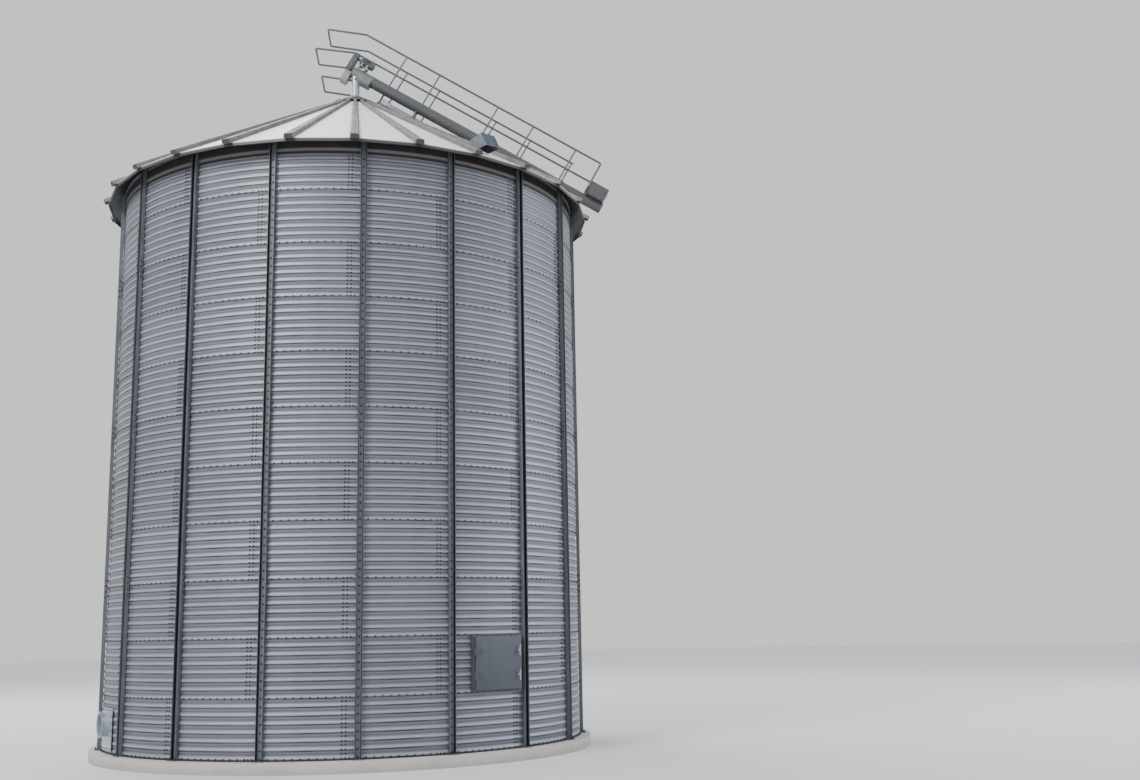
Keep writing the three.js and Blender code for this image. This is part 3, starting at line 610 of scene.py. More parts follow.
def concrete():
    """Cast concrete with pores, pale clouds and damp at its foot."""
    shade = Shader("concrete")
    cloud = shade.noise(2.0, 6.0)
    pores = shade.patches(70, 0.63, 0.7)
    damp = shade.ramp(shade.z / BASE_TOP + (cloud - 0.5) * 0.8, (0.15, 1), (0.75, 0))
    colour = shade.mix(cloud * 0.6, chosen("concrete"), (0.62, 0.60, 0.56))
    colour = shade.mix(damp * 0.35, colour, (0.24, 0.225, 0.20))
    colour = shade.mix(pores * 0.5, colour, (0.16, 0.155, 0.145))
    return shade.finish(colour, 0.82, 0.0, shade.noise(90, 5.0) - pores * 0.8, 0.003)


def studio_floor():
    """The pale floor that the silo stands on, a little lighter far away."""
    shade = Shader("studio_floor")
    far = shade.ramp(shade.reach() / FLOOR_FADE, (0.15, 0), (0.9, 1))
    colour = shade.mix(far, chosen("floor"), (0.86, 0.86, 0.855))
    colour = shade.shaded(colour, 0.97 + shade.noise(0.3) * 0.04)
    return shade.finish(colour, 0.9, 0.0)


FINISHES = {make.__name__: make for make in (
    wall_sheet, roof_sheet, rib_steel, eave_steel, post_steel, tube_steel, rail_steel, head_steel, kick_steel,
    bright_steel, door_steel, hood_steel, hood_face, machine_paint, pale_paint, bolt_zinc, rubber, concrete,
    studio_floor)}


def material(name):
    """A finish by its name, made when it is first asked for."""
    return bpy.data.materials.get(FINISH_NAME.format(name)) or FINISHES[name]()


# Shapes

def unit(vector):
    """A vector cut to a length of 1."""
    return np.asarray(vector, float) / np.linalg.norm(vector)


def polar(radius, bearing, height=0.0):
    """Points at radii, bearings and heights, which may be arrays."""
    radius, angle, height = np.broadcast_arrays(radius, np.radians(bearing), height)
    return np.stack([radius * np.sin(angle), -radius * np.cos(angle), height], -1)


def apart(bearing, other):
    """Degrees between two bearings, the shorter way round."""
    return abs((bearing - other + 180) % 360 - 180)


def standing(spot, out=Z_AXIS, along=X_AXIS):
    """A frame at a spot, with its Z out from a surface and its X along it."""
    made = np.eye(4)
    made[:3, :4] = np.stack([along, np.cross(out, along), out, spot], 1)
    return made


def facing(bearing, radius, height=0.0):
    """A frame on the silo's side: X along the wall to the right, Y up, Z outwards."""
    return standing(polar(radius, bearing, height), polar(1.0, bearing), polar(1.0, bearing + 90))


def circle(radius, sides=16):
    """The outline of a circle."""
    angles = np.arange(sides) * math.tau / sides
    return np.stack([radius * np.cos(angles), radius * np.sin(angles)], 1)


def rounded(width, height, corner, steps=1):
    """The outline of a rectangle with eased corners, anticlockwise round the origin."""
    points = []
    for quarter, (side, rise) in enumerate([(1, 1), (-1, 1), (-1, -1), (1, -1)]):
        centre = (side * (width / 2 - corner), rise * (height / 2 - corner))
        for step in range(steps + 1):
            angle = math.radians(90 * (quarter + step / steps))
            points.append((centre[0] + corner * math.cos(angle), centre[1] + corner * math.sin(angle)))
    return points


def washer(inner, outer, low, high):
    """The (radius, height) profile of a plain ring."""
    return [(inner, low), (outer, low), (outer, high), (inner, high)]


def mirrored(points):
    """An outline of points right of the middle and their mirror images left of it."""
    return [*points, *((-x, y) for x, y in reversed(points))]


def handed(outline, side):
    """An outline as it is for side 1, and its mirror image for side -1."""
    return [(side * x, y) for x, y in outline][::side]


def inset(outline, distance):
    """An anticlockwise outline, drawn in by a distance."""
    here = np.asarray(outline, float)
    ahead = np.roll(here, -1, 0) - here
    ahead /= np.linalg.norm(ahead, axis=1)[:, None]
    inward = np.stack([-ahead[:, 1], ahead[:, 0]], 1)
    behind = np.roll(inward, 1, 0)
    return here + (inward + behind) * (distance / (1 + (inward * behind).sum(1)))[:, None]


def underneath(line, sheet):
    """A flat line moved to its right by a sheet's thickness."""
    line = np.asarray(line, float)
    ahead = np.gradient(line, axis=0)
    ahead /= np.linalg.norm(ahead, axis=1)[:, None]
    return line + np.stack([ahead[:, 1], -ahead[:, 0]], 1) * sheet


def bent(path, radius, steps=6):
    """A path with its corners turned into arcs of a radius."""
    path = [np.asarray(point, float) for point in path]
    points = [path[0]]
    for before, corner, after in zip(path, path[1:], path[2:]):
        to_before, to_after = unit(before - corner), unit(after - corner)
        half = math.acos(np.clip(to_before @ to_after, -1, 1)) / 2
        reach = radius / math.tan(half)
        centre = corner + unit(to_before + to_after) * radius / math.sin(half)
        start, end = corner + to_before * reach - centre, corner + to_after * reach - centre
        sweep = math.pi - 2 * half
        for share in np.linspace(0, 1, steps + 1):
            weights = math.sin((1 - share) * sweep), math.sin(share * sweep)
            points.append(centre + (start * weights[0] + end * weights[1]) / math.sin(sweep))
    return np.array([*points, path[-1]])


class Form:
    """The points and faces gathered for one piece, in a frame that may change between them."""

    def __init__(self, place=None):
        self.points = []
        self.faces = []
        self.count = 0
        self.at(place)

    def at(self, place=None):
        """Sets the frame that what follows is drawn in."""
        self.place = np.eye(4) if place is None else place
        return self

    def add(self, points, faces):
        """Adds points and the faces between them."""
        points = np.asarray(points, float).reshape(-1, 3)
        self.points.append(points @ self.place[:3, :3].T + self.place[:3, 3])
        self.faces += [[index + self.count for index in face] for face in faces]
        self.count += len(points)
        return self

    def loft(self, rings, loop=False):
        """Joins like rings of points into a closed skin, ended by flat faces or by its own start."""
        rings = np.asarray(rings, float)
        rows, around = rings.shape[:2]
        ids = np.arange(rows * around).reshape(rows, around)
        if loop:
            ids = np.vstack([ids, ids[:1]])
        turned_on = np.roll(ids, -1, 1)
        quads = np.stack([ids[:-1], turned_on[:-1], turned_on[1:], ids[1:]], -1).reshape(-1, 4).tolist()
        if not loop:
            quads += [ids[0][::-1].tolist(), ids[-1].tolist()]
        return self.add(rings, quads)

    def bar(self, outline, start, end, side=X_AXIS, ease=0.0):
        """An outline carried from one point to another, its ends eased by a small chamfer."""
        start, end = np.asarray(start, float), np.asarray(end, float)
        run = unit(end - start)
        across = unit(np.asarray(side, float) - run * (run @ np.asarray(side, float)))
        over = np.cross(run, across)
        outline = np.asarray(outline, float)
        stations = [(start, outline), (end, outline)]
        if ease:
            small = inset(outline, ease)
            stations = [(start, small), (start + run * ease, outline),
                        (end - run * ease, outline), (end, small)]
        return self.loft([place + flat[:, :1] * across + flat[:, 1:] * over for place, flat in stations])

    def along(self, outline, start, end, across=0.0, level=0.0, ease=0.0):
        """An outline of (Y, Z) points carried along X."""
        return self.bar(outline, (start, across, level), (end, across, level), Y_AXIS, ease)

    def block(self, corner, other, ease=0.003):
        """A box between two opposite corners, with its edges eased."""
        low, high = np.minimum(corner, other), np.maximum(corner, other)
        x, y, _ = (low + high) / 2
        width, depth, _ = high - low
        return self.bar(rounded(width, depth, ease), (x, y, low[2]), (x, y, high[2]), ease=ease)

    def rod(self, start, end, radius, sides=16, ease=0.002):
        """A round bar with eased ends."""
        run = unit(np.subtract(end, start))
        return self.bar(circle(radius, sides), start, end, X_AXIS if abs(run[0]) < 0.9 else Y_AXIS, ease)

    def tube(self, path, radius, sides=12, loop=False):
        """A round bar along a path."""
        path = np.asarray(path, float)
        if loop:
            runs = np.roll(path, -1, 0) - np.roll(path, 1, 0)
        else:
            runs = np.gradient(path, axis=0)
        side = np.array(X_AXIS if abs(unit(runs[0])[2]) > 0.9 else Z_AXIS, float)
        flat = circle(radius, sides)
        rings = []
        for point, run in zip(path, runs):
            run = unit(run)
            side = unit(side - run * (run @ side))
            over = np.cross(run, side)
            rings.append(point + flat[:, :1] * side + flat[:, 1:] * over)
        return self.loft(rings, loop)

    def turned(self, profile, centre=(0, 0, 0), axis=Z_AXIS, sides=32, loop=False):
        """A (radius, height) profile turned about an axis."""
        axis = unit(axis)
        side = unit(np.cross(axis, Y_AXIS if abs(axis[1]) < 0.9 else X_AXIS))
        over = np.cross(axis, side)
        flat = circle(1.0, sides)
        ring = flat[:, :1] * side + flat[:, 1:] * over
        rings = [np.asarray(centre) + ring * radius + axis * height for radius, height in profile]
        return self.loft(rings, loop)

    def shell(self, outer, inner, keep=None):
        """A thin closed sheet between two lattices of points, with the cells that are kept."""
        rows, columns = outer.shape[:2]
        keep = np.ones((rows - 1, columns - 1), bool) if keep is None else keep
        ids = np.arange(rows * columns).reshape(rows, columns)
        under = ids + rows * columns
        before, after = slice(None, -1), slice(1, None)
        cell = (before, before), (before, after), (after, after), (after, before)
        front = [ids[part] for part in cell]
        back = [under[part] for part in cell]
        quads = [np.stack(front, -1)[keep], np.stack(back[::-1], -1)[keep]]
        padded = np.pad(keep, 1)
        beside = padded[:-2, 1:-1], padded[1:-1, 2:], padded[2:, 1:-1], padded[1:-1, :-2]
        for corner, neighbour in enumerate(beside):
            following = (corner + 1) % 4
            edge = np.stack([front[following], front[corner], back[corner], back[following]], -1)
            quads.append(edge[keep & ~neighbour])
        points = np.concatenate([outer.reshape(-1, 3), inner.reshape(-1, 3)])
        return self.add(points, np.concatenate(quads).tolist())

    def bolts(self, places, size):
        """A hexagon head on a washer at each frame, standing along the frame's Z."""
        head, skirt, height = size
        rings = [(skirt, -0.001), (skirt * 0.94, 0.0022), (head, height)]
        hexagon = circle(1.0, 6)
        points = np.array([(*corner * radius, rise) for radius, rise in rings for corner in hexagon])
        faces = [[row * 6 + i, row * 6 + (i + 1) % 6, (row + 1) * 6 + (i + 1) % 6, (row + 1) * 6 + i]
                 for row in range(2) for i in range(6)]
        faces += [list(range(5, -1, -1)), list(range(12, 18))]
        for place in places:
            self.add(points @ place[:3, :3].T + place[:3, 3], faces)
        return self

    def mesh(self, name):
        """The gathered form as a mesh without loose points, with every face turned outwards."""
        points = np.concatenate(self.points)
        used = np.unique(np.concatenate(self.faces))
        renumbered = np.zeros(len(points), int)
        renumbered[used] = np.arange(len(used))
        lookup = renumbered.tolist()
        made = bpy.data.meshes.new(name)
        made.from_pydata(points[used].tolist(), [], [[lookup[i] for i in face] for face in self.faces])
        gathered = bmesh.new()
        gathered.from_mesh(made)
        bmesh.ops.recalc_face_normals(gathered, faces=gathered.faces)
        gathered.to_mesh(made)
        gathered.free()
        return made


def piece(name, form, finish, replaces=(), body=BODY, sharp=35):
    """Makes a gathered form into a piece of the silo, which rides on a body of the frame."""
    mesh = form.mesh(name)
    mesh.materials.append(material(finish))
    mesh.shade_smooth()
    mesh.set_sharp_from_angle(angle=math.radians(sharp))
    made = bpy.data.objects.new(name, mesh)
    bpy.context.scene.collection.objects.link(made)
    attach(made, body)
    if replaces:
        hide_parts(*replaces)


def fixings(name, form, body=BODY):
    """Makes gathered bolts or wires into a piece of plated steel."""
    piece(name, form, "bolt_zinc", body=body)


def dress(node, finish, edge=0.002):
    """Gives a node of the frame its finish and eased edges."""
    made = frame["nodes"][node]
    made.data.materials.clear()
    made.data.materials.append(material(finish))
    bevel = made.modifiers.new("edges", "BEVEL")
    bevel.width = edge
    bevel.segments = 2
    bevel.limit_method = "ANGLE"


WIRE_EASE = 0.0003


# Bolts: radius of the head, radius of the washer and height

WALL_BOLT = (0.0095, 0.015, 0.0095)
POST_BOLT = (0.011, 0.017, 0.011)
RIB_BOLT = (0.0065, 0.010, 0.006)
CAP_BOLT = (0.009, 0.014, 0.009)
HOOD_RIVET = (0.005, 0.007, 0.004)
HEAD_BOLT = (0.005, 0.0065, 0.005)
SPOUT_BOLT = (0.006, 0.009, 0.007)
GUARD_BOLT = (0.005, 0.008, 0.005)
HOPPER_BOLT = (0.007, 0.010, 0.007)
FRAME_BOLT = (0.0065, 0.010, 0.008)
LEAF_BOLT = (0.0065, 0.009, 0.007)
PORT_BOLT = (0.008, 0.012, 0.008)


# Wall

FACET = 4.0
STEPS_A_WAVE = 8
FOOT_GAP = 0.0002
LAP_OUT = 0.003
LAP_IN = -0.001
SEAM_OUT = 0.0015
SEAM_REACH = 1.04
SEAM_CLEAR = 0.3

# Sections of the band under the eave and of the bead at the wall's foot: radius and height
BAND = ((4.0118, BAND_FOOT), (4.0150, BAND_FOOT + 0.004), (4.0150, BAND_HEAD - 0.004), (4.0118, BAND_HEAD))
BEAD = ((4.008, 0.1705), (4.040, 0.1705), (4.030, 0.176), (4.016, 0.186), (4.008, 0.186))

# The openings: the ring that each is cut from, and how far it reaches on each side
DOOR_RING = 1
DOOR_CUT = 6.2
PORT_RING = 0
PORT_BEARING = -101.6
PORT_HEIGHT = 0.61
PORT_CUT = 2.6
PORT_CUT_LOW = 0.43
PORT_CUT_HIGH = 0.79

# Bolt places in degrees from a post, and where the manway's frame and the port's plate leave no room
ROW_SPOTS = (*(1.69 * step for step in range(1, 10)), -3.3, -2.5, -1.7)
SEAM_COLUMNS = (-0.4, 0.4)
BOLT_LIMIT = 9.25
DOOR_CLEAR = 7.2
DOOR_CLEAR_LOW = 1.0
DOOR_CLEAR_HIGH = 1.91
PORT_CLEAR = 4.7
PORT_CLEAR_HIGH = 0.88


def wave_in(height):
    """How far the wall lies in from its crests at a height."""
    wall = sizes("wall")
    return wall.depth / 2 * (1 - np.cos(math.tau * (np.asarray(height) - wall.first_row) / wall.pitch))


def lap_offset(height, ring):
    """How far a ring of sheets leans out at a height, so that it laps over the ring below."""
    wall = sizes("wall")
    share = (np.asarray(height) - wall.row(ring)) / wall.ring_height
    return LAP_OUT + (LAP_IN - LAP_OUT) * np.clip(share, 0, 1)


def seams(ring):
    """Bearings of a ring's seams, which every second ring has half a sheet further round."""
    wall = sizes("wall")
    first = wall.first_post + wall.seam_offset - (wall.bay if ring % 2 == 0 else 0)
    return [first + sheet * wall.sheet_turn for sheet in range(wall.sheets_round)]


def ring_heights(ring):
    """Heights of a ring's rows of points, from its lower lap to its upper one."""
    wall = sizes("wall")
    step = wall.pitch / STEPS_A_WAVE
    laps = round(wall.lap / step)
    heights = wall.row(ring) + step * np.arange(-laps, wall.waves * STEPS_A_WAVE + laps + 1)
    return np.unique(np.clip(heights, WALL_FOOT + FOOT_GAP, WALL_TOP))


def wall_ring(ring):
    """One ring of lapped sheets, open where the manway or the port goes through."""
    wall = sizes("wall")
    form = Form()
    heights = ring_heights(ring)
    levels = (heights[1:] + heights[:-1]) / 2
    marks = np.array([-DOOR_CUT, DOOR_CUT, PORT_BEARING - PORT_CUT, PORT_BEARING + PORT_CUT])
    grid = np.unique(np.concatenate([np.arange(-180, 540, FACET), marks, marks + 360]))
    for start in seams(ring):
        first, last = start - SEAM_REACH, start + wall.sheet_turn + SEAM_REACH
        between = grid[(grid > first + SEAM_CLEAR) & (grid < last - SEAM_CLEAR)]
        bearings = np.array([first, *between, last])
        middles = (bearings[1:] + bearings[:-1]) / 2
        lean = np.linspace(0, SEAM_OUT, len(bearings))
        radius = (wall.crest - wave_in(heights) + lap_offset(heights, ring))[:, None] + lean
        skins = [polar(radius - inward, bearings, heights[:, None]) for inward in (0, wall.sheet)]
        keep = np.ones((len(levels), len(middles)), bool)
        if ring == DOOR_RING:
            keep[:, apart(middles, 0) < DOOR_CUT] = False
        if ring == PORT_RING:
            level = (levels > PORT_CUT_LOW) & (levels < PORT_CUT_HIGH)
            keep[np.ix_(level, apart(middles, PORT_BEARING) < PORT_CUT)] = False
        form.shell(*skins, keep)
    return form


def hoop(profile):
    """A ring of a (radius, height) section all round the silo, in the wall's own facets."""
    radii, heights = np.transpose(profile)
    return Form().loft([polar(radii, bearing, heights) for bearing in np.arange(0, 360, FACET)], loop=True)


class SILO_OT_wall(Operator):
    """Build the rings of corrugated sheet and the plain band under the eave"""

    bl_idname = "silo.wall"
    bl_label = "Wall sheets"

    def execute(self, context):
        nodes = nodes_named("wall_")
        for ring in range(context.scene.silo_wall.ring_count):
            piece(f"wall_ring_{ring + 1:02d}", wall_ring(ring), "wall_sheet", nodes, sharp=60)
        piece("wall_top_band", hoop(BAND), "eave_steel")
        piece("wall_foot_bead", hoop(BEAD), "rubber")
        return {"FINISHED"}


def post_bearings():
    """Bearings of the posts."""
    wall = sizes("wall")
    return [wall.first_post + post * wall.bay for post in range(wall.post_count)]


def taken(bearing, height):
    """Whether a place on the wall lies under the manway's frame or the port's plate."""
    by_door = apart(bearing, 0) < DOOR_CLEAR and DOOR_CLEAR_LOW < height < DOOR_CLEAR_HIGH
    return by_door or apart(bearing, PORT_BEARING) < PORT_CLEAR and height < PORT_CLEAR_HIGH


def row_bolts():
    """The bolts along the laps between the rings."""
    wall = sizes("wall")
    form = Form()
    for ring in range(wall.ring_count):
        height = wall.row(ring)
        form.bolts((facing(post + spot, wall.crest + LAP_OUT, height) for post in post_bearings()
                    for spot in ROW_SPOTS if not taken(post + spot, height)), WALL_BOLT)
    return form


def seam_bolts():
    """The two columns of bolts down each seam, on the crests and in the troughs."""
    wall = sizes("wall")
    form = Form()
    for ring in range(wall.ring_count):
        for step in range(1, 2 * wall.waves):
            height = wall.row(ring) + step * wall.pitch / 2
            if height > BOLT_LIMIT:
                continue
            radius = wall.crest + SEAM_OUT + lap_offset(height, ring) - wave_in(height)
            form.bolts((facing(seam + column, radius, height) for seam in seams(ring)
                        for column in SEAM_COLUMNS if not taken(seam, height)), WALL_BOLT)
    return form


class SILO_OT_wall_bolts(Operator):
    """Set the bolts along the rows and seams of the wall"""

    bl_idname = "silo.wall_bolts"
    bl_label = "Wall bolts"

    def execute(self, context):
        fixings("ring_bolts", row_bolts())
        fixings("seam_bolts", seam_bolts())
        return {"FINISHED"}


# Posts

SPLICE_ROWS = (3, 6, 9)
SPLICE_SHEET = 0.006
SPLICE_BACK = 0.004
SPLICE_FRONT = 0.058
SPLICE_WAVES = (-1.5, 1)
SPLICE_MARGIN = 0.03
SPLICE_BOLT_WAVES = (1, 0.25, -0.5, -1.25)
SPLICE_BOLT_OUT = 0.034

FOOT_PLATE = 0.012
ANCHOR_ASIDE = 0.062
ANCHOR_OUT = 0.078
# An anchor's nut: radius and height
ANCHOR_NUT = ((0.015, 0), (0.015, 0.012), (0.012, 0.014))


def post_bolts():
    """The bolts up each post's web, one to a wave, and the anchors through its foot plate."""
    wall = sizes("wall")
    heights = [wall.first_row + wave * wall.pitch for wave in range(wall.ring_count * wall.waves)]
    form = Form()
    for post in post_bearings():
        form.at().bolts((facing(post, wall.post_back + wall.post_sheet, height) for height in heights
                         if height < BOLT_LIMIT), POST_BOLT)
        form.at(facing(post, wall.post_back, WALL_FOOT + FOOT_PLATE))
        for side in SIDES:
            x = side * ANCHOR_ASIDE
            form.rod((x, -0.011, ANCHOR_OUT), (x, 0.030, ANCHOR_OUT), 0.008, 8)
            form.turned(ANCHOR_NUT, (x, 0.002, ANCHOR_OUT), Y_AXIS, 6)
    return form


def splice_frames():
    """Frames at the back of each post where one length of it ends on the next."""
    wall = sizes("wall")
    return [facing(post, wall.post_back, wall.row(row)) for post in post_bearings() for row in SPLICE_ROWS]


def post_splices():
    """The plates that join the posts' lengths, one on each flange."""
    wall = sizes("wall")
    inner, outer = wall.post_width / 2, wall.post_width / 2 + SPLICE_SHEET
    low, high = (waves * wall.pitch for waves in SPLICE_WAVES)
    form = Form()
    for place in splice_frames():
        form.at(place)
        for side in SIDES:
            form.block((side * inner, low - SPLICE_MARGIN, SPLICE_BACK),
                       (side * outer, high + SPLICE_MARGIN, SPLICE_FRONT), 0.0015)
    return form


def splice_bolts():
    """The bolts through the splice plates."""
    wall = sizes("wall")
    face = wall.post_width / 2 + SPLICE_SHEET
    form = Form()
    for place in splice_frames():
        spots = [standing((side * face, waves * wall.pitch, SPLICE_BOLT_OUT), (side, 0, 0), Y_AXIS)
                 for side in SIDES for waves in SPLICE_BOLT_WAVES]
        form.at(place).bolts(spots, WALL_BOLT)
    return form


class SILO_OT_posts(Operator):
    """Dress the stiffener posts, with their bolts, splices and anchors"""

    bl_idname = "silo.posts"
    bl_label = "Stiffener posts"

    def execute(self, context):
        for name in nodes_named("stiffener_") + ["eave_ring"]:
            dress(name, "post_steel")
        fixings("post_bolts", post_bolts())
        piece("post_splices", post_splices(), "post_steel")
        fixings("splice_bolts", splice_bolts())
        return {"FINISHED"}


BASE_EASE = 0.012


class SILO_OT_base(Operator):
    """Cast the concrete base"""

    bl_idname = "silo.base"
    bl_label = "Concrete base"

    def execute(self, context):
        form = Form()
        form.turned([(BASE_RADIUS, 0), (BASE_RADIUS, BASE_TOP - BASE_EASE),
                     (BASE_RADIUS - BASE_EASE * 0.3, BASE_TOP - BASE_EASE * 0.3),
                     (BASE_RADIUS - BASE_EASE, BASE_TOP)], sides=144)
        piece("cast_base", form, "concrete", ["concrete_base"])
        return {"FINISHED"}


# Roof

# A rib's reach from the axis, width and height, each at the peak and at the eave
RIB_REACH = (0.475, 4.345)
RIB_WIDTH = (0.062, 0.14)
RIB_HEIGHT = (0.045, 0.07)
RIB_SHEET = 0.0016
RIB_FLANGE = 0.010
RIB_GAP = 0.001
RIB_STATIONS = 9
RIB_BOLTS = (0.75, 4.25, 0.60)
RIB_BOLT_DOWN = 0.12
RIB_BOLT_ASIDE = 0.022
BOLT_GAP = 0.0005

ROOF_SHEET = 0.0016
PANEL_GAP = 0.0006
PANEL_ROWS = 12
PANEL_COLUMNS = 5
LIP_BEND = 0.012
LIP_DROP = 0.010
LIP_TURNS = (12, 30, 60, 84)
LIP_EASE = 0.002
HEM = 0.018

CAP_HOLE = 0.088
CAP_TOP_RADIUS = 0.13
CAP_SHEET = 0.003
CAP_BOLTS_AT = 0.43


def rib_bearings():
    """Bearings of the roof's ribs."""
    roof = sizes("roof")
    return [roof.first_rib + rib * roof.sector for rib in range(roof.rib_count)]


def rib_size(radius):
    """A rib's width and height at a distance out."""
    return [np.interp(radius, RIB_REACH, ends) for ends in (RIB_WIDTH, RIB_HEIGHT)]


def roof_height(radius, aside=0.0):
    """Height of the panels at a distance out along a rib, and at a distance aside from it."""
    roof = sizes("roof")
    fold = math.tan(math.radians(roof.sector / 2))
    return roof.eave_height + (roof.eave_radius - radius - abs(aside) * fold) * roof.fall


def roof_under(point):
    """Height of the roof's panels under or over a point."""
    roof = sizes("roof")
    half = roof.sector / 2
    bearing = math.degrees(math.atan2(point[0], -point[1]))
    off = (bearing - roof.first_rib) % roof.sector - half
    share = math.cos(math.radians(off)) / math.cos(math.radians(half))
    return roof_height(math.hypot(point[0], point[1]) * share)


def roof_normal(point, step=0.01):
    """The direction square to the roof's panel at a point."""
    here = roof_under(point)
    east = roof_under((point[0] + step, point[1])) - here
    north = roof_under((point[0], point[1] + step)) - here
    return unit((-east / step, -north / step, 1.0))


def rib_point(bearing, radius, aside, rise):
    """A point beside a rib's line, at a rise square to the roof's slope."""
    slope = math.radians(sizes("roof").slope)
    height = roof_height(radius, aside) + rise * math.cos(slope)
    return polar(radius + rise * math.sin(slope), bearing, height) + polar(aside, bearing + 90)


def rib_frame(bearing, radius, aside, rise):
    """A frame on the roof beside a rib, with Z square to the slope."""
    slope = math.radians(sizes("roof").slope)
    return standing(rib_point(bearing, radius, aside, rise), polar(math.sin(slope), bearing, math.cos(slope)),
                    polar(1.0, bearing + 90))


def hat_section(width, height):
    """A rib's section: (aside, rise) points round its sheet."""
    half, sheet, foot = width / 2, RIB_SHEET, RIB_GAP
    upper = [(half - 0.012, height), (half - 0.006, height - 0.004), (half, foot + sheet),
             (half + RIB_FLANGE, foot + sheet)]
    lower = [(half + RIB_FLANGE, foot), (half - sheet, foot), (half - 0.006 - sheet, height - 0.005),
             (half - 0.013, height - sheet)]
    return mirrored(upper + lower)


def hat_filling(width, height):
    """The section of the plate that closes a rib's end."""
    half = width / 2
    return mirrored([(half, RIB_GAP), (half - 0.006, height - 0.004), (half - 0.012, height)])


def panel_line():
    """A panel's (radius, height) line down the slope, over a small bend and down the lip to its hem."""
    roof = sizes("roof")
    bend = roof.eave_radius - LIP_BEND
    foot = roof.eave_height - roof.lip
    line = [(radius, roof_height(radius)) for radius in np.linspace(roof.hole_radius, bend, PANEL_ROWS)]
    for angle in np.radians(LIP_TURNS):
        line.append((bend + LIP_BEND * math.sin(angle), roof_height(bend) - LIP_DROP * (1 - math.cos(angle))))
    return np.array(line + [(roof.eave_radius, foot + LIP_EASE), (roof.eave_radius - LIP_EASE, foot),
                            (roof.eave_radius - HEM, foot)])


def roof_panels():
    """The flat panels between the ribs, each with its lip and hem."""
    roof = sizes("roof")
    gap = math.degrees(PANEL_GAP / roof.hole_radius)
    line = panel_line()
    form = Form()
    for rib in rib_bearings():
        lattices = []
        for skin in (line, underneath(line, ROOF_SHEET)):
            ends = [polar(skin[:, 0], edge, skin[:, 1]) for edge in (rib + gap, rib + roof.sector - gap)]
            lattices.append(np.linspace(*ends, PANEL_COLUMNS, axis=1))
        form.shell(*lattices)
    return form


def roof_ribs():
    """The hat-section ribs over the panels' joints, narrower towards the peak, with closed ends."""
    form = Form()
    for rib in rib_bearings():
        form.loft([[rib_point(rib, radius, aside, rise) for aside, rise in hat_section(*rib_size(radius))]
                   for radius in np.linspace(*RIB_REACH, RIB_STATIONS)])
        for radius, way in zip(RIB_REACH, (1, -1)):
            form.loft([[rib_point(rib, radius + way * depth, aside, rise)
                        for aside, rise in hat_filling(*rib_size(radius))] for depth in (0.0005, 0.003)])
    return form


def roof_bolts():
    """The bolts along each rib's top and beside its flanges."""
    form = Form()
    for rib in rib_bearings():
        for radius in np.arange(*RIB_BOLTS):
            width, height = rib_size(radius)
            aside = width / 2 + RIB_BOLT_ASIDE
            form.bolts([rib_frame(rib, radius, 0.0, height),
                        *(rib_frame(rib, radius + RIB_BOLT_DOWN, side * aside, BOLT_GAP) for side in SIDES)],
                       RIB_BOLT)
    return form


class SILO_OT_roof(Operator):
    """Lay the roof's panels and ribs"""

    bl_idname = "silo.roof"
    bl_label = "Roof panels and ribs"

    def execute(self, context):
        nodes = nodes_named("roof_sector_")
        piece("roof_panels", roof_panels(), "roof_sheet", nodes, sharp=25)
        piece("roof_ribs", roof_ribs(), "rib_steel", nodes)
        fixings("roof_bolts", roof_bolts())
        return {"FINISHED"}


def cap_cone():
    """The cap's cone, with a turned-down rim and a hole for the spout."""
    roof = sizes("roof")
    edge = roof.cap_radius
    rim = CAP_TOP - (edge - CAP_TOP_RADIUS) * roof.fall
    form = Form()
    form.turned([(CAP_HOLE, CAP_TOP), (CAP_HOLE, CAP_TOP - CAP_SHEET), (CAP_TOP_RADIUS, CAP_TOP - CAP_SHEET),
                 (edge - 0.010, rim - CAP_SHEET + 0.005), (edge - 0.004, rim - 0.016), (edge, rim - 0.014),
                 (edge, rim - 0.002), (edge - 0.006, rim + 0.0035), (CAP_TOP_RADIUS + 0.01, CAP_TOP - 0.004),
                 (CAP_TOP_RADIUS - 0.008, CAP_TOP)], sides=108, loop=True)
    return form


def cap_bolts():
    """The bolts through the cap, one over each rib."""
    form = Form()
    height = CAP_TOP - (CAP_BOLTS_AT - CAP_TOP_RADIUS) * sizes("roof").fall + BOLT_GAP
    for rib in rib_bearings():
        place = rib_frame(rib, CAP_BOLTS_AT, 0.0, 0.0)
        place[2, 3] = height
        form.bolts([place], CAP_BOLT)
    return form


class SILO_OT_cap(Operator):
    """Set the cap over the roof's peak"""

    bl_idname = "silo.cap"
    bl_label = "Peak cap"

    def execute(self, context):
        piece("cap_cone", cap_cone(), "tube_steel", ["peak_cap"])
        fixings("cap_bolts", cap_bolts())
        return {"FINISHED"}


# Hoods: points of a side, as distance out from the hood's foot and height

HOOD_HEEL = (-0.124, 0.075)
HOOD_FOOT = (0.0, -0.004)
HOOD_TOE = (0.32, 0.0)
HOOD_BROW = (0.17, 0.255)
HOOD_CROWN = (-0.13, 0.215)
HOOD_SHEET = 0.002
HOOD_BEAD = 0.004
HOOD_LIP = 0.005
# The foot flange: how far it stands out on each side, its two ends and its height
HOOD_FLANGE = (0.012, -0.16, -0.118, 0.040)
HOOD_RIVETS_AT = ((0.03, 0.03), (0.21, 0.03), (0.10, 0.22), (-0.08, 0.19))
SECOND_HOOD = 13
MESH_WIRE = 0.0012
MESH_UP = 0.012
MESH_REACH = (0.004, 0.302)
MESH_ACROSS = np.linspace(-0.12, 0.12, 13)
MESH_OUT = np.linspace(0.02, 0.30, 15)
MESH_HALF = 0.13


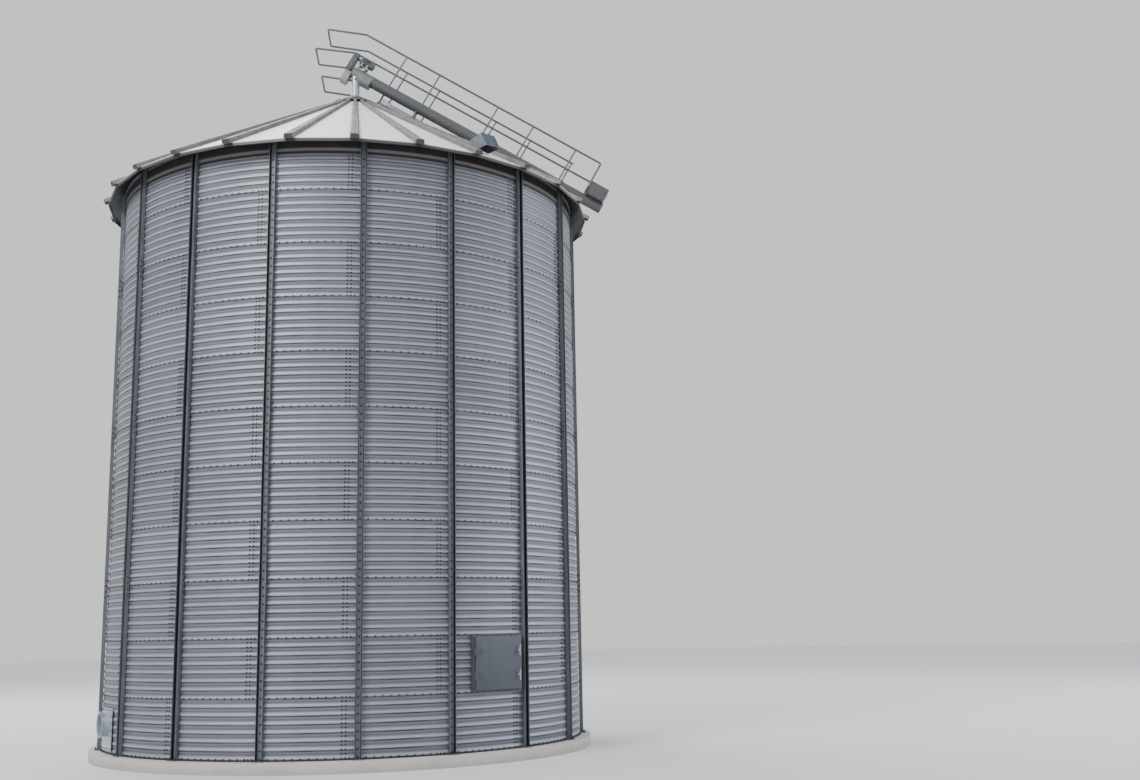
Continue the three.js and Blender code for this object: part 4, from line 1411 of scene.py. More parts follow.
def hood_place(bearing):
    """A hood's frame: X across it, Y outwards from the axis and Z up."""
    radius = sizes("roof").hood_radius
    return standing(polar(radius, bearing, roof_height(radius)), Z_AXIS, polar(-1.0, bearing + 90))


def hood_strip(form, line):
    """A strip of the hood's sheet folded along a line of (out, up) points."""
    half = sizes("roof").hood_width / 2
    form.shell(*(np.array([[(x, out, up) for x in np.linspace(-half, half, 5)] for out, up in skin])
                 for skin in (line, underneath(line, HOOD_SHEET))))
    return form


def hood_sheet(place):
    """The hood's sides, back and top, with its beaded edges and its foot flange."""
    half = sizes("roof").hood_width / 2
    form = hood_strip(Form(place), (HOOD_HEEL, HOOD_CROWN, HOOD_BROW))
    for side in SIDES:
        low, high = sorted((side * half, side * (half - HOOD_SHEET)))
        form.along([HOOD_HEEL, HOOD_FOOT, HOOD_TOE, HOOD_BROW, HOOD_CROWN], low, high)
        form.tube([(side * half, 0.0, 0.0), (side * half, HOOD_TOE[0], 0.0)], HOOD_BEAD, 8)
    form.tube([(-half, HOOD_TOE[0], 0.002), (half, HOOD_TOE[0], 0.002)], HOOD_LIP, 8)
    proud, back, front, up = HOOD_FLANGE
    form.block((-half - proud, back, 0.0), (half + proud, front, up), 0.002)
    return form


def hood_mesh(place):
    """The bird mesh in the hood's mouth."""
    form = Form(place)
    for x in MESH_ACROSS:
        form.rod(*((x, out, MESH_UP) for out in MESH_REACH), MESH_WIRE, 6, WIRE_EASE)
    for out in MESH_OUT:
        form.rod(*((side * MESH_HALF, out, MESH_UP + 0.0015) for side in SIDES), MESH_WIRE, 6, WIRE_EASE)
    return form


def hood_rivets(place):
    """The rivets in the hood's sides."""
    half = sizes("roof").hood_width / 2
    form = Form(place)
    form.bolts((standing((side * half, out, up), (side, 0, 0), Y_AXIS)
                for side in SIDES for out, up in HOOD_RIVETS_AT), HOOD_RIVET)
    return form


class SILO_OT_hoods(Operator):
    """Fold the two vent hoods and their bird mesh"""

    bl_idname = "silo.hoods"
    bl_label = "Vent hoods"

    def execute(self, context):
        roof = context.scene.silo_roof
        for number, bays in ((1, 0), (2, SECOND_HOOD)):
            place = hood_place(roof.hood_bearing + bays * roof.sector)
            nodes = [f"vent_hood_{number}"]
            face = hood_strip(Form(place), (HOOD_BROW, HOOD_TOE))
            piece(f"hood_sheet_{number}", hood_sheet(place), "hood_steel", nodes)
            piece(f"hood_face_{number}", face, "hood_face", nodes)
            fixings(f"hood_mesh_{number}", hood_mesh(place))
            fixings(f"hood_rivets_{number}", hood_rivets(place))
        return {"FINISHED"}


# Auger: places along its slope, and sizes across it

TUBE_WALL = 0.004
TUBE_FROM = 0.33
JOINT_START = 2.60
JOINT_END = 2.723
COLLAR = 0.004
COLLAR_HALF = 0.014
TUBE_PLUG = (0.012, 0.004)

HOUSING_BORE = 0.03
HOUSING_RADIUS = 0.104
HOUSING_END = 0.344

# The outlet box: start, end and how far each part of it stands out
BOX_PARTS = ((0.066, 0.342, 0.0), (0.0605, 0.070, 0.004), (0.338, 0.3495, 0.004))
BOX_RADIUS = 0.109
BOX_DROP = -0.055
BOX_SHOULDER = 0.035
BOX_LEAN = 0.86
BOX_BOLT_RING = 0.105

SPOUT_RADIUS = 0.077
SPOUT_BORE = 0.071
SPOUT_SINK = 0.02
# The spout's flange on the cap: radius and height
SPOUT_FLANGE = ((0.105, 0), (0.107, 0.002), (0.107, 0.009), (0.079, 0.011), (SPOUT_RADIUS, 0.02))
SPOUT_BOLT_RING = 0.093
SPOUT_BOLTS_UP = 0.0105


def auger_frame():
    """The auger's own frame: X down its slope, Y away from the tube, Z off the slope."""
    auger = sizes("auger")
    bearing, slope = math.radians(auger.bearing), math.radians(auger.slope)
    along = (math.cos(slope) * math.sin(bearing), -math.cos(slope) * math.cos(bearing), -math.sin(slope))
    across = np.array([math.cos(bearing), math.sin(bearing), 0.0])
    return standing((0, 0, auger.height), np.cross(along, across), along)


def on_auger(along, across, off):
    """A point of the auger's frame, in the silo's."""
    return (auger_frame() @ np.array([along, across, off, 1.0]))[:3]


def on_walk(reach, across, height):
    """A point over the auger's bearing, at a level distance out and aside."""
    auger = sizes("auger")
    return polar(reach, auger.bearing, height) + polar(across, auger.bearing + 90)


def auger_tube():
    """The tube with its joint band, its collars over the supports and its end plate."""
    auger = sizes("auger")
    radius, end = auger.tube, auger.tube_end
    bore = radius - TUBE_WALL
    band = [(radius, JOINT_START), (radius + COLLAR, JOINT_START + 0.003),
            (radius + COLLAR, JOINT_END - 0.003), (radius, JOINT_END)]
    profiles = [[(bore, TUBE_FROM), (radius, TUBE_FROM), *band, (radius, end), (bore, end)],
                washer(0.02, radius - 0.003, *(end - inward for inward in TUBE_PLUG))]
    for along, _ in SUPPORTS:
        profiles.append(washer(radius - 0.001, radius + COLLAR, along - COLLAR_HALF, along + COLLAR_HALF))
    form = Form(auger_frame())
    for profile in profiles:
        form.turned(profile, axis=X_AXIS, sides=40, loop=True)
    return form


def box_outline(radius):
    """The outlet box's outline: a round bottom under the tube, with sides that lean in above it."""
    bottom = [(radius * math.cos(angle), BOX_DROP + radius * math.sin(angle))
              for angle in np.pi + np.linspace(0, np.pi, 17)]
    return bottom + [(radius * BOX_LEAN, BOX_SHOULDER), (-radius * BOX_LEAN, BOX_SHOULDER)]


def auger_head():
    """The bearing housing at the tube's upper end, and the outlet box with its end plates."""
    start = sizes("auger").tube_start
    form = Form(auger_frame())
    bore, radius = HOUSING_BORE, HOUSING_RADIUS
    form.turned([(bore, start), (radius - 0.006, start), (radius, start + 0.005),
                 (radius, HOUSING_END - 0.004), (radius - 0.003, HOUSING_END), (bore, HOUSING_END)],
                axis=X_AXIS, sides=48, loop=True)
    for begin, end, proud in BOX_PARTS:
        form.along(box_outline(BOX_RADIUS + proud), begin, end, ease=0.0025)
    return form


def spout_pipe():
    """The spout from the outlet box down to its flange on the cap."""
    foot, top = CAP_TOP + SEAT, sizes("auger").height - SPOUT_SINK
    profile = [(radius, foot + rise) for radius, rise in SPOUT_FLANGE]
    profile += [(SPOUT_RADIUS, top), (SPOUT_BORE, top), (SPOUT_BORE, foot)]
    return Form().turned(profile, sides=40, loop=True)


def auger_bolts():
    """The bolts round the outlet box's end plates and in the spout's flange."""
    form = Form(auger_frame())
    for along, way in ((BOX_PARTS[2][1], 1), (BOX_PARTS[1][0], -1)):
        for angle in math.pi * np.linspace(1.08, 1.92, 7):
            spot = (along, BOX_BOLT_RING * math.cos(angle), BOX_DROP + BOX_BOLT_RING * math.sin(angle))
            form.bolts([standing(spot, (way, 0, 0), (0, way, 0))], HEAD_BOLT)
    height = CAP_TOP + SPOUT_BOLTS_UP
    form.at().bolts((standing((x, y, height)) for x, y in circle(SPOUT_BOLT_RING, 6)), SPOUT_BOLT)
    return form


class SILO_OT_auger(Operator):
    """Build the auger's tube, its head and the spout under it"""

    bl_idname = "silo.auger"
    bl_label = "Auger tube and spout"

    def execute(self, context):
        piece("tube_body", auger_tube(), "tube_steel", ["auger_tube"])
        piece("tube_head", auger_head(), "head_steel", ["auger_tube"])
        piece("spout_pipe", spout_pipe(), "bright_steel", ["discharge_spout"])
        fixings("auger_bolts", auger_bolts())
        return {"FINISHED"}


# Drive: the belt rises from the auger's shaft to the motor's

BELT_RISE = 0.282
GUARD_WIDTH = 0.196
GUARD_CORNER = 0.09
# The belt's cover and the casting at its foot: start and end along the slope, low and high off it
COVER_SIZE = (-0.206, -0.110, -0.058, 0.384)
FOOT_SIZE = (-0.188, -0.058, -0.289, 0.0)
LOUVRES = (0.08, 0.12, 0.16, 0.20, 0.24)
GUARD_BOLTS_AT = (0.06, 0.17, 0.28)
FIN_COUNT = 28
# One fin of the motor: shares of its pitch, and radius
FIN = ((0.0, 0.068), (0.30, 0.068), (0.36, 0.079), (0.60, 0.079), (0.66, 0.068))
# The motor's end bells: radius, and place along its shaft
MOTOR_ENDS = (
    [(0.02, -0.0595), (0.045, -0.0595), (0.055, -0.045), (0.073, -0.040), (0.0795, -0.030), (0.0795, 0.0),
     (0.02, 0.0)],
    [(0.02, 0.150), (0.079, 0.150), (0.0798, 0.155), (0.0798, 0.210), (0.076, 0.222), (0.066, 0.232),
     (0.02, 0.2345)])
# The grille's rings over the fan: their bores, their width, and their two faces
GRILLE_BORES = 0.012 + 0.009 * np.arange(6)
GRILLE_WIDTH = 0.0032
GRILLE_FACES = (0.232, 0.2348)
# The lifting eye: its centre, its half width and half height, and its bar's radius
EYE_AT = (0.270, -0.02, 0.296)
EYE_HALF = (0.034, 0.030)
EYE_BAR = 0.0045
# The mount's sides: an upright beside the guard and an arm that slopes up to the motor's end
MOUNT_SIDES = (((-0.038, 0.076), (0.012, 0.076), (0.012, 0.176), (-0.038, 0.176)),
               ((-0.036, 0.078), (0.004, 0.078), (0.160, 0.160), (0.160, 0.184), (0.132, 0.184)))


def belt_case(form, start, end, low, high):
    """A round-ended case round the belt or a pulley."""
    outline = rounded(GUARD_WIDTH, high - low, GUARD_CORNER, 8)
    form.along(outline, start, end, level=(high + low) / 2, ease=0.007)
    return form


def guard_cover():
    """The narrow cover over the belt, with its seam, louvres and shaft bosses."""
    form = belt_case(Form(auger_frame()), *COVER_SIZE)
    form.along(rounded(0.199, 0.446, 0.092, 8), -0.163, -0.157, level=0.163)
    form.rod((-0.11, 0, 0), (-0.0503, 0, 0), 0.03, 20)
    form.rod((-0.11, 0, BELT_RISE), (-0.06, 0, BELT_RISE), 0.02, 16)
    for level in LOUVRES:
        form.along(rounded(0.12, 0.012, 0.005), -0.2075, -0.203, level=level)
    return form


def guard_foot():
    """The wider casting round the lower pulley, with its ribs."""
    form = belt_case(Form(auger_frame()), *FOOT_SIZE)
    for side in SIDES:
        for level in (-0.20, -0.06):
            form.block((-0.180, side * 0.094, level), (-0.066, side * 0.0995, level + 0.018), 0.002)
    return form


def guard_bolts():
    """The bolts down the guard's sides."""
    form = Form(auger_frame())
    form.bolts((standing((-0.135, side * 0.098, level), (0, side, 0), Z_AXIS)
                for side in SIDES for level in GUARD_BOLTS_AT), GUARD_BOLT)
    return form


def motor_body():
    """The motor's finned body, its end bells and the grille of its fan."""
    form = Form(auger_frame())
    fins = []
    for number in range(FIN_COUNT):
        for share, radius in FIN:
            angle = (number + share) * math.tau / FIN_COUNT
            fins.append((radius * math.cos(angle), radius * math.sin(angle)))
    form.along(fins, -0.005, 0.155, level=BELT_RISE)
    for profile in MOTOR_ENDS:
        form.turned(profile, (0, 0, BELT_RISE), X_AXIS, 40, loop=True)
    for bore in GRILLE_BORES:
        profile = washer(bore, bore + GRILLE_WIDTH, *GRILLE_FACES)
        form.turned(profile, (0, 0, BELT_RISE), X_AXIS, 32, loop=True)
    return form


def motor_mount():
    """The motor's feet, base plate and mount, and its wiring boxes."""
    form = Form(auger_frame())
    for start in (0.0, 0.105):
        end = start + 0.040
        form.block((start, -0.072, 0.184), (end, 0.072, 0.196), 0.003)
        for middle in (-0.056, 0.056):
            form.block((start, middle - 0.013, 0.190), (end, middle + 0.013, 0.245), 0.003)
    form.block((-0.038, -0.07, 0.174), (0.163, 0.07, 0.186), 0.002)
    for side in SIDES:
        inner, outer = sorted((side * 0.058, side * 0.0695))
        for outline in MOUNT_SIDES:
            form.bar(outline, (0, outer, 0), (0, inner, 0), X_AXIS, 0.001)
    form.block((0.03, 0.072, 0.245), (0.11, 0.104, 0.315), 0.006)
    form.bar(rounded(0.07, 0.085, 0.008), (0.07, 0.0, BELT_RISE + 0.070), (0.07, 0.0, BELT_RISE + 0.076),
             X_AXIS, 0.001)
    return form


def motor_eye():
    """The lifting eye on the motor's end."""
    form = Form(auger_frame())
    eye = [np.add(EYE_AT, (EYE_HALF[0] * x, 0, EYE_HALF[1] * z)) for x, z in circle(1.0, 20)]
    form.tube(eye, EYE_BAR, 8, loop=True)
    return form


class SILO_OT_drive(Operator):
    """Build the belt guard and the motor on its saddle"""

    bl_idname = "silo.drive"
    bl_label = "Belt guard and motor"

    def execute(self, context):
        piece("guard_cover", guard_cover(), "machine_paint", ["drive_guard"])
        piece("guard_foot", guard_foot(), "pale_paint", ["drive_guard"])
        piece("motor_body", motor_body(), "machine_paint", ["drive_motor"], sharp=50)
        piece("motor_mount", motor_mount(), "pale_paint", ["drive_motor"])
        piece("motor_eye", motor_eye(), "bright_steel")
        fixings("guard_bolts", guard_bolts())
        return {"FINISHED"}


# Hopper

HOPPER_START = 4.93
HOPPER_END = 5.29
HOPPER_HALF = 0.21
HOPPER_LOW = 0.07
HOPPER_HIGH = 0.33
HOPPER_SHEET = 0.003
HOPPER_FLOOR = 0.072
HOPPER_LIP = 0.006


def hopper_corners(inward=0.0):
    """The four corners of the hopper's plan, drawn in by a distance."""
    start, end, half = HOPPER_START + inward, HOPPER_END - inward, HOPPER_HALF - inward
    return [(start, -half), (end, -half), (end, half), (start, half)]


def hopper_box():
    """The open box over the tube's lower end, with a rolled lip and folded corners."""
    form = Form(auger_frame())
    outer, inner = hopper_corners(), hopper_corners(HOPPER_SHEET)
    form.loft([[(*point, z) for point in ring] for ring, z in (
        (outer, HOPPER_LOW), (outer, HOPPER_HIGH), (inner, HOPPER_HIGH), (inner, HOPPER_LOW))], loop=True)
    level = HOPPER_HIGH - HOPPER_LIP
    for corner, after in zip(outer, outer[1:] + outer[:1]):
        form.rod((*corner, level), (*after, level), HOPPER_LIP, 10)
    for side in SIDES:
        form.block((HOPPER_START, side * HOPPER_FLOOR, HOPPER_LOW),
                   (HOPPER_END, side * HOPPER_HALF, HOPPER_LOW + HOPPER_SHEET), 0.001)
        y = side * (HOPPER_HALF + 0.001)
        for x in (HOPPER_START + 0.004, HOPPER_END - 0.004):
            form.bar(rounded(0.008, 0.03, 0.003), (x, y, HOPPER_LOW), (x, y, HOPPER_HIGH - 0.012))
    return form


def hopper_bolts():
    """The bolts along the foot of the hopper's sides."""
    form = Form(auger_frame())
    spots = [standing((x, side * HOPPER_HALF, HOPPER_LOW + 0.03), (0, side, 0))
             for x in np.linspace(HOPPER_START + 0.05, HOPPER_END - 0.05, 4) for side in SIDES]
    form.bolts(spots, HOPPER_BOLT)
    return form


class SILO_OT_hopper(Operator):
    """Fold the open hopper over the tube's lower end"""

    bl_idname = "silo.hopper"
    bl_label = "Intake hopper"

    def execute(self, context):
        piece("hopper_box", hopper_box(), "tube_steel", ["auger_hopper"])
        fixings("hopper_bolts", hopper_bolts())
        return {"FINISHED"}


# Walkway: places along the auger's slope, and across it from the tube

# Each support's place along the slope, and its two legs' places across it
SUPPORTS = ((1.357, (0.24, 0.85)), (2.632, (0.40, 0.92)), (4.337, (0.28, 0.85)))
BEAM = 0.06
BEAM_END = 0.98
CRADLE_RADIUS = 0.101
CRADLE_LEAN = 0.6
CRADLE_HALF = 0.013
CRADLE_SIDE = 0.057
LEG_RADIUS = 0.03
# A leg's foot plate: radius and height
LEG_FOOT = ((0.075, -0.004), (0.075, 0.006), (0.034, 0.010))

DECK_START = 0.60
DECK_INNER = 0.11
DECK_OUTER = 0.875
GRATING_DEPTH = 0.03
GRATING_PITCH = 0.04
GRATING_HALF = 0.0025
GRATING_INSET = 0.006
GRATING_EASE = 0.0005
CROSS_PITCH = 0.10
CROSS_RADIUS = 0.004
CROSS_DOWN = 0.006
STRINGER_START = 0.83
STRINGER_WIDTH = 0.04
STRINGER_DEPTH = 0.08
DECK_SHEET = 0.005
END_SHEET = 0.006

KICK_HEIGHT = 0.085
KICK_INSET = 0.023
KICK_SHEET = 0.003
KICK_FOLD = 0.012
KICK_MESH_LOW = 0.002
KICK_MESH_HIGH = 0.105
KICK_MESH_PITCH = 0.014
KICK_MESH_RIM = 0.004
KICK_WIRE = 0.0016
SHORTEST_WIRE = 0.006

RAIL_POSTS = (0.631, 1.357, 2.632, 3.406, 4.337)
FAR_RAIL_END = 4.375
RAIL_BREAK = -0.255
RAIL_BEND = 0.035
# A post's foot flange and its clamp: radius, and height from the deck or the middle rail
POST_FLANGE = ((0.018, SEAT), (0.028, SEAT), (0.028, 0.006), (0.019, 0.008), (0.0185, 0.03),
               (0.016, 0.03))
POST_CLAMP = ((0.0165, -0.026), (0.0205, -0.025), (0.0215, -0.020), (0.0215, 0.020), (0.0205, 0.025),
              (0.0165, 0.026))

# Over the peak: level reach from the axis, and height, of the rails and of the platform's floor
PEAK_TOP = (-0.540, 13.346)
PEAK_MID = (-0.765, 12.951)
PEAK_FLOOR = (-0.644, 12.387)
PEAK_FOOT = (-0.020, 12.305)
TUBE_BRACKET = ((-0.044, 0.0912, -0.118), (0.018, 0.129, -0.042))


def channel(side):
    """The outline of a stringer's channel, open to one side."""
    width, half, sheet = STRINGER_WIDTH, STRINGER_DEPTH / 2, DECK_SHEET
    return handed([(0, -half), (width, -half), (width, sheet - half), (sheet, sheet - half),
                   (sheet, half - sheet), (width, half - sheet), (width, half), (0, half)], side)


def deck_grating():
    """The deck's bars across the walkway, and the rods that tie them."""
    auger = sizes("auger")
    top, bottom = auger.deck, auger.deck - GRATING_DEPTH
    inner, outer, half = DECK_INNER + GRATING_INSET, DECK_OUTER - GRATING_INSET, GRATING_HALF
    rod = top - CROSS_DOWN
    form = Form(auger_frame())
    for along in np.arange(DECK_START + 0.02, auger.deck_end - 0.01, GRATING_PITCH):
        form.block((along - half, inner, bottom), (along + half, outer, top - 0.001), GRATING_EASE)
    for across in np.arange(DECK_INNER + 0.06, DECK_OUTER - 0.03, CROSS_PITCH):
        form.rod((DECK_START, across, rod), (auger.deck_end, across, rod), CROSS_RADIUS, 6, GRATING_EASE)
    return form


def deck_frame():
    """The stringers, their end plates, and the beams and cradles that carry them."""
    auger = sizes("auger")
    top, end = auger.deck, auger.deck_end
    bottom, low = top - GRATING_DEPTH, top - STRINGER_DEPTH
    form = Form(auger_frame())
    for across, side in ((DECK_INNER, 1), (DECK_OUTER, -1)):
        form.along(channel(side), STRINGER_START, end, across, top - STRINGER_DEPTH / 2)
        form.block((DECK_START, across, bottom),
                   (STRINGER_START + 0.002, across + side * DECK_SHEET, top), 0.001)
    inner, outer = DECK_INNER + DECK_SHEET, DECK_OUTER - DECK_SHEET
    form.block((DECK_START, inner, bottom), (DECK_START + END_SHEET, outer, top), 0.001)
    form.block((end - END_SHEET, inner, low), (end, outer, top), 0.001)
    cradle = [(CRADLE_RADIUS * math.sin(angle), -CRADLE_RADIUS * math.cos(angle))
              for angle in np.linspace(CRADLE_LEAN, -CRADLE_LEAN, 13)]
    cradle = [(-CRADLE_SIDE, low - 0.002), (CRADLE_SIDE, low - 0.002), *cradle]
    beam, level = rounded(BEAM, BEAM, 0.006, 3), low - BEAM / 2
    for along, _ in SUPPORTS:
        form.bar(beam, (along, -BEAM, level), (along, BEAM_END, level), X_AXIS, 0.002)
        form.along(cradle, along - CRADLE_HALF, along + CRADLE_HALF)
    return form


def deck_legs():
    """The upright legs from the beams to the roof, with their foot plates."""
    level = sizes("auger").deck - STRINGER_DEPTH - BEAM / 2
    form = Form()
    for along, places in SUPPORTS:
        for across in places:
            head = on_auger(along, across, level)
            foot = np.array([*head[:2], roof_under(head)])
            form.rod(foot + (0, 0, 0.002), head, LEG_RADIUS, 20)
            form.turned(LEG_FOOT, foot + (0, 0, 0.010), roof_normal(foot), 24)
    return form


def kick_plates():
    """The folded plates along both edges of the deck."""
    auger = sizes("auger")
    outline = [(0, 0), (KICK_SHEET, 0), (KICK_SHEET, KICK_HEIGHT - KICK_SHEET),
               (KICK_FOLD, KICK_HEIGHT - KICK_SHEET), (KICK_FOLD, KICK_HEIGHT), (0, KICK_HEIGHT)]
    form = Form(auger_frame())
    for across, side in ((auger.near + KICK_INSET, 1), (auger.far - KICK_INSET, -1)):
        form.along(handed(outline, side), STRINGER_START, auger.deck_end, across, auger.deck)
    return form


def kick_mesh():
    """The framed mesh from the first near post to the kick plate."""
    auger = sizes("auger")
    low, high = auger.deck + KICK_MESH_LOW, auger.deck + KICK_MESH_HIGH
    start, end = RAIL_POSTS[0] + 0.018, STRINGER_START - 0.004
    across, rise = auger.near + KICK_INSET, high - low
    form = Form(auger_frame())
    form.tube([(start, across, low), (end, across, low), (end, across, high), (start, across, high)],
              KICK_MESH_RIM, 6, loop=True)
    for foot in np.arange(start - rise, end, KICK_MESH_PITCH):
        first, last = max(foot, start), min(foot + rise, end)
        if last - first > SHORTEST_WIRE:
            for level, way in ((low, 1), (high, -1)):
                ends = [(along, across, level + way * (along - foot)) for along in (first, last)]
                form.rod(*ends, KICK_WIRE, 5, WIRE_EASE)
    return form


def platform_frame():
    """The bent floor frame over the peak, its tie and its bracket on the tube."""
    auger = sizes("auger")
    corners = [on_walk(reach, across, height) for across, (reach, height) in (
        (auger.near, PEAK_FOOT), (auger.near, PEAK_FLOOR), (auger.far, PEAK_FLOOR), (auger.far, PEAK_FOOT))]
    form = Form()
    form.tube(bent(corners, RAIL_BEND), auger.rail, 14)
    form.tube([corners[0], corners[3]], auger.rail, 14)
    form.at(auger_frame()).block(*TUBE_BRACKET, 0.002)
    return form


class SILO_OT_walkway(Operator):
    """Build the grating, its stringers, beams, legs and the platform's frame"""

    bl_idname = "silo.walkway"
    bl_label = "Walkway"

    def execute(self, context):
        piece("deck_grating", deck_grating(), "rail_steel", ["walkway_deck"])
        piece("deck_frame", deck_frame(), "rail_steel", ["walkway_deck"])
        piece("deck_legs", deck_legs(), "rail_steel", ["walkway_deck"])
        piece("kick_plates", kick_plates(), "kick_steel", ["walkway_deck"])
        piece("kick_mesh", kick_mesh(), "kick_steel")
        piece("platform_frame", platform_frame(), "rail_steel", ["platform_floor"])
        return {"FINISHED"}


def handrail_bars():
    """The top and middle rails, bent round the platform from the near side to the far one."""
    auger = sizes("auger")
    form = Form()
    for off, peak in ((auger.top_rail, PEAK_TOP), (auger.mid_rail, PEAK_MID)):
        near, far = ([on_auger(end, across, off), on_auger(RAIL_BREAK, across, off),
                      on_walk(peak[0], across, peak[1])]
                     for across, end in ((auger.near, auger.deck_end), (auger.far, FAR_RAIL_END)))
        if off == auger.top_rail:
            near.insert(0, on_auger(auger.deck_end, auger.near, auger.deck))
        form.tube(bent(near + far[::-1], RAIL_BEND), auger.rail, 16)
    return form


def handrail_posts():
    """The rails' posts, with a flange at each foot and a clamp at the middle rail."""
    auger = sizes("auger")
    off_axis = auger_frame()[:3, 2]
    form = Form()
    for across, ends in ((auger.near, (*RAIL_POSTS, auger.deck_end)), (auger.far, RAIL_POSTS)):
        for along in RAIL_POSTS:
            form.rod(on_auger(along, across, auger.deck + SEAT), on_auger(along, across, auger.top_rail),
                     auger.post, 16)
        for along in ends:
            form.turned(POST_FLANGE, on_auger(along, across, auger.deck), off_axis, 20)
            form.turned(POST_CLAMP, on_auger(along, across, auger.mid_rail), off_axis, 20)
    return form


class SILO_OT_handrails(Operator):
    """Bend the handrails round the walkway and set their posts"""

    bl_idname = "silo.handrails"
    bl_label = "Handrails"

    def execute(self, context):
        nodes = nodes_named("handrail_")
        piece("handrail_bars", handrail_bars(), "rail_steel", nodes, sharp=50)
        piece("handrail_posts", handrail_posts(), "rail_steel", nodes)
        return {"FINISHED"}


# Manway

FRAME_HALF = 0.48
FRAME_LOW = 1.04
FRAME_HIGH = 1.89
FRAME_FRONT = -4.046
FRAME_BACK = -3.964
FRAME_BAR = 0.09
FRAME_EASE = 0.003
FRAME_CORNER = 0.012
HOLE_CORNER = 0.03
FRAME_BOLT_INSET = 0.013
FRAME_BOLTS_ACROSS = np.linspace(-0.40, 0.40, 7)
FRAME_BOLTS_UP = np.linspace(FRAME_LOW + 0.10, FRAME_HIGH - 0.10, 6)
FRAME_BOLTS_SIDE = 0.465

HINGE_AT = (HINGE_X, HINGE_Y, 0)
HINGE_LEVELS = (1.275, 1.645)
BARREL_RADIUS = 0.011
BARREL_HALF = 0.045
BARREL_BORE = 0.0042
BARREL_GAP = 0.0006
LUG_HEIGHT = 0.028
LUG_HALF = 0.010
LUG_BACK = 0.004
LUG_BORE = 0.004
# The pin: radius, and height from the hinge's middle
PIN = ((0.0039, -0.078), (0.0039, 0.076), (0.0075, 0.0765), (0.0075, 0.081), (0.004, 0.083))

DOOR_SIDE = 0.45
DOOR_LOW = 1.065
DOOR_HIGH = 1.865
DOOR_FACE = FRAME_FRONT - 0.0303
DOOR_BACK = FRAME_FRONT - SEAT
# The door's skin, from its face round the turned rim to the plate's inner side: inset, corner and depth
DOOR_SKIN = ((0.006, 0.010, DOOR_FACE), (0.0015, 0.012, DOOR_FACE + 0.0015), (0, 0.014, DOOR_FACE + 0.006),
             (0, 0.014, DOOR_BACK), (0.003, 0.012, DOOR_BACK), (0.003, 0.012, DOOR_FACE + 0.006),
             (0.007, 0.010, DOOR_FACE + 0.003))
# The gasket's skin: inset and depth
GASKET_SKIN = ((0.006, DOOR_BACK), (0.016, DOOR_BACK), (0.016, DOOR_BACK - 0.012), (0.006, DOOR_BACK - 0.012))

LEAF_START = -0.448
LEAF_END = -0.316
LEAF_HALF = 0.044
LEAF_FACE = DOOR_FACE - 0.006
LEAF_BOLT_PLACES = (-0.415, -0.375, -0.335)
LEAF_BOLT_RISE = 0.022

LATCH_INSET = 0.06
# A latch's stem and its nut: radius, and distance out from the door's face
LATCH_STEM = ((0.018, -SEAT), (0.018, 0.006), (0.0125, 0.008), (0.0125, 0.026), (0.016, 0.028),
              (0.016, 0.032))
LATCH_NUT = ((0.011, 0.030), (0.011, 0.043), (0.009, 0.045))
HANDLE_OUT = 0.036
HANDLE_HALF = 0.072
HANDLE_HOOK = 0.012
HANDLE_RADIUS = 0.008


def facing_front(x, z, y):
    """A frame on the manway's face: X to the right, Y up and Z towards the viewer."""
    return standing((x, y, z), (0, -1, 0))


def upright_ring(half, low, high, drawn_in, corner, depth, steps):
    """A rounded upright rectangle of points at a depth, drawn in by a distance."""
    outline = rounded(2 * (half - drawn_in), high - low - 2 * drawn_in, corner, steps)
    return [(x, depth, (low + high) / 2 + z) for x, z in outline]


def barrel(bore, low, high):
    """The (radius, height) profile of a hinge's barrel, bored for its pin."""
    edge, ease = BARREL_RADIUS, 0.001
    return [(bore, low), (edge - ease, low), (edge, low + ease), (edge, high - ease), (edge - ease, high),
            (bore, high)]


def frame_bars():
    """The manway's frame, and the lugs of its hinges above and below the door's barrels."""
    form = Form()
    form.loft([upright_ring(FRAME_HALF, FRAME_LOW, FRAME_HIGH, drawn_in, corner, depth, 3)
               for drawn_in, corner, depth in (
                   (FRAME_EASE, FRAME_CORNER, FRAME_FRONT), (0, FRAME_CORNER, FRAME_FRONT + FRAME_EASE),
                   (0, FRAME_CORNER, FRAME_BACK), (FRAME_BAR, HOLE_CORNER, FRAME_BACK),
                   (FRAME_BAR, HOLE_CORNER, FRAME_FRONT + FRAME_EASE),
                   (FRAME_BAR - FRAME_EASE, HOLE_CORNER, FRAME_FRONT))], loop=True)
    for level in HINGE_LEVELS:
        for way in SIDES:
            near = level + way * (BARREL_HALF + BARREL_GAP)
            low, high = sorted((near, near + way * LUG_HEIGHT))
            form.turned(barrel(LUG_BORE, low, high), HINGE_AT, sides=24, loop=True)
            form.block((HINGE_X - LUG_HALF, HINGE_Y + LUG_BACK, low),
                       (HINGE_X + LUG_HALF, FRAME_FRONT + 0.001, high), 0.001)
    return form


def frame_bolts():
    """The hinges' pins, and the bolts round three sides of the frame."""
    form = Form()
    for level in HINGE_LEVELS:
        form.turned([(radius, level + rise) for radius, rise in PIN], HINGE_AT, sides=16)
    low, high = FRAME_LOW + FRAME_BOLT_INSET, FRAME_HIGH - FRAME_BOLT_INSET
    spots = [(x, z) for x in FRAME_BOLTS_ACROSS for z in (low, high)]
    spots += [(FRAME_BOLTS_SIDE, z) for z in FRAME_BOLTS_UP]
    form.bolts((facing_front(x, z, FRAME_FRONT) for x, z in spots), FRAME_BOLT)
    return form


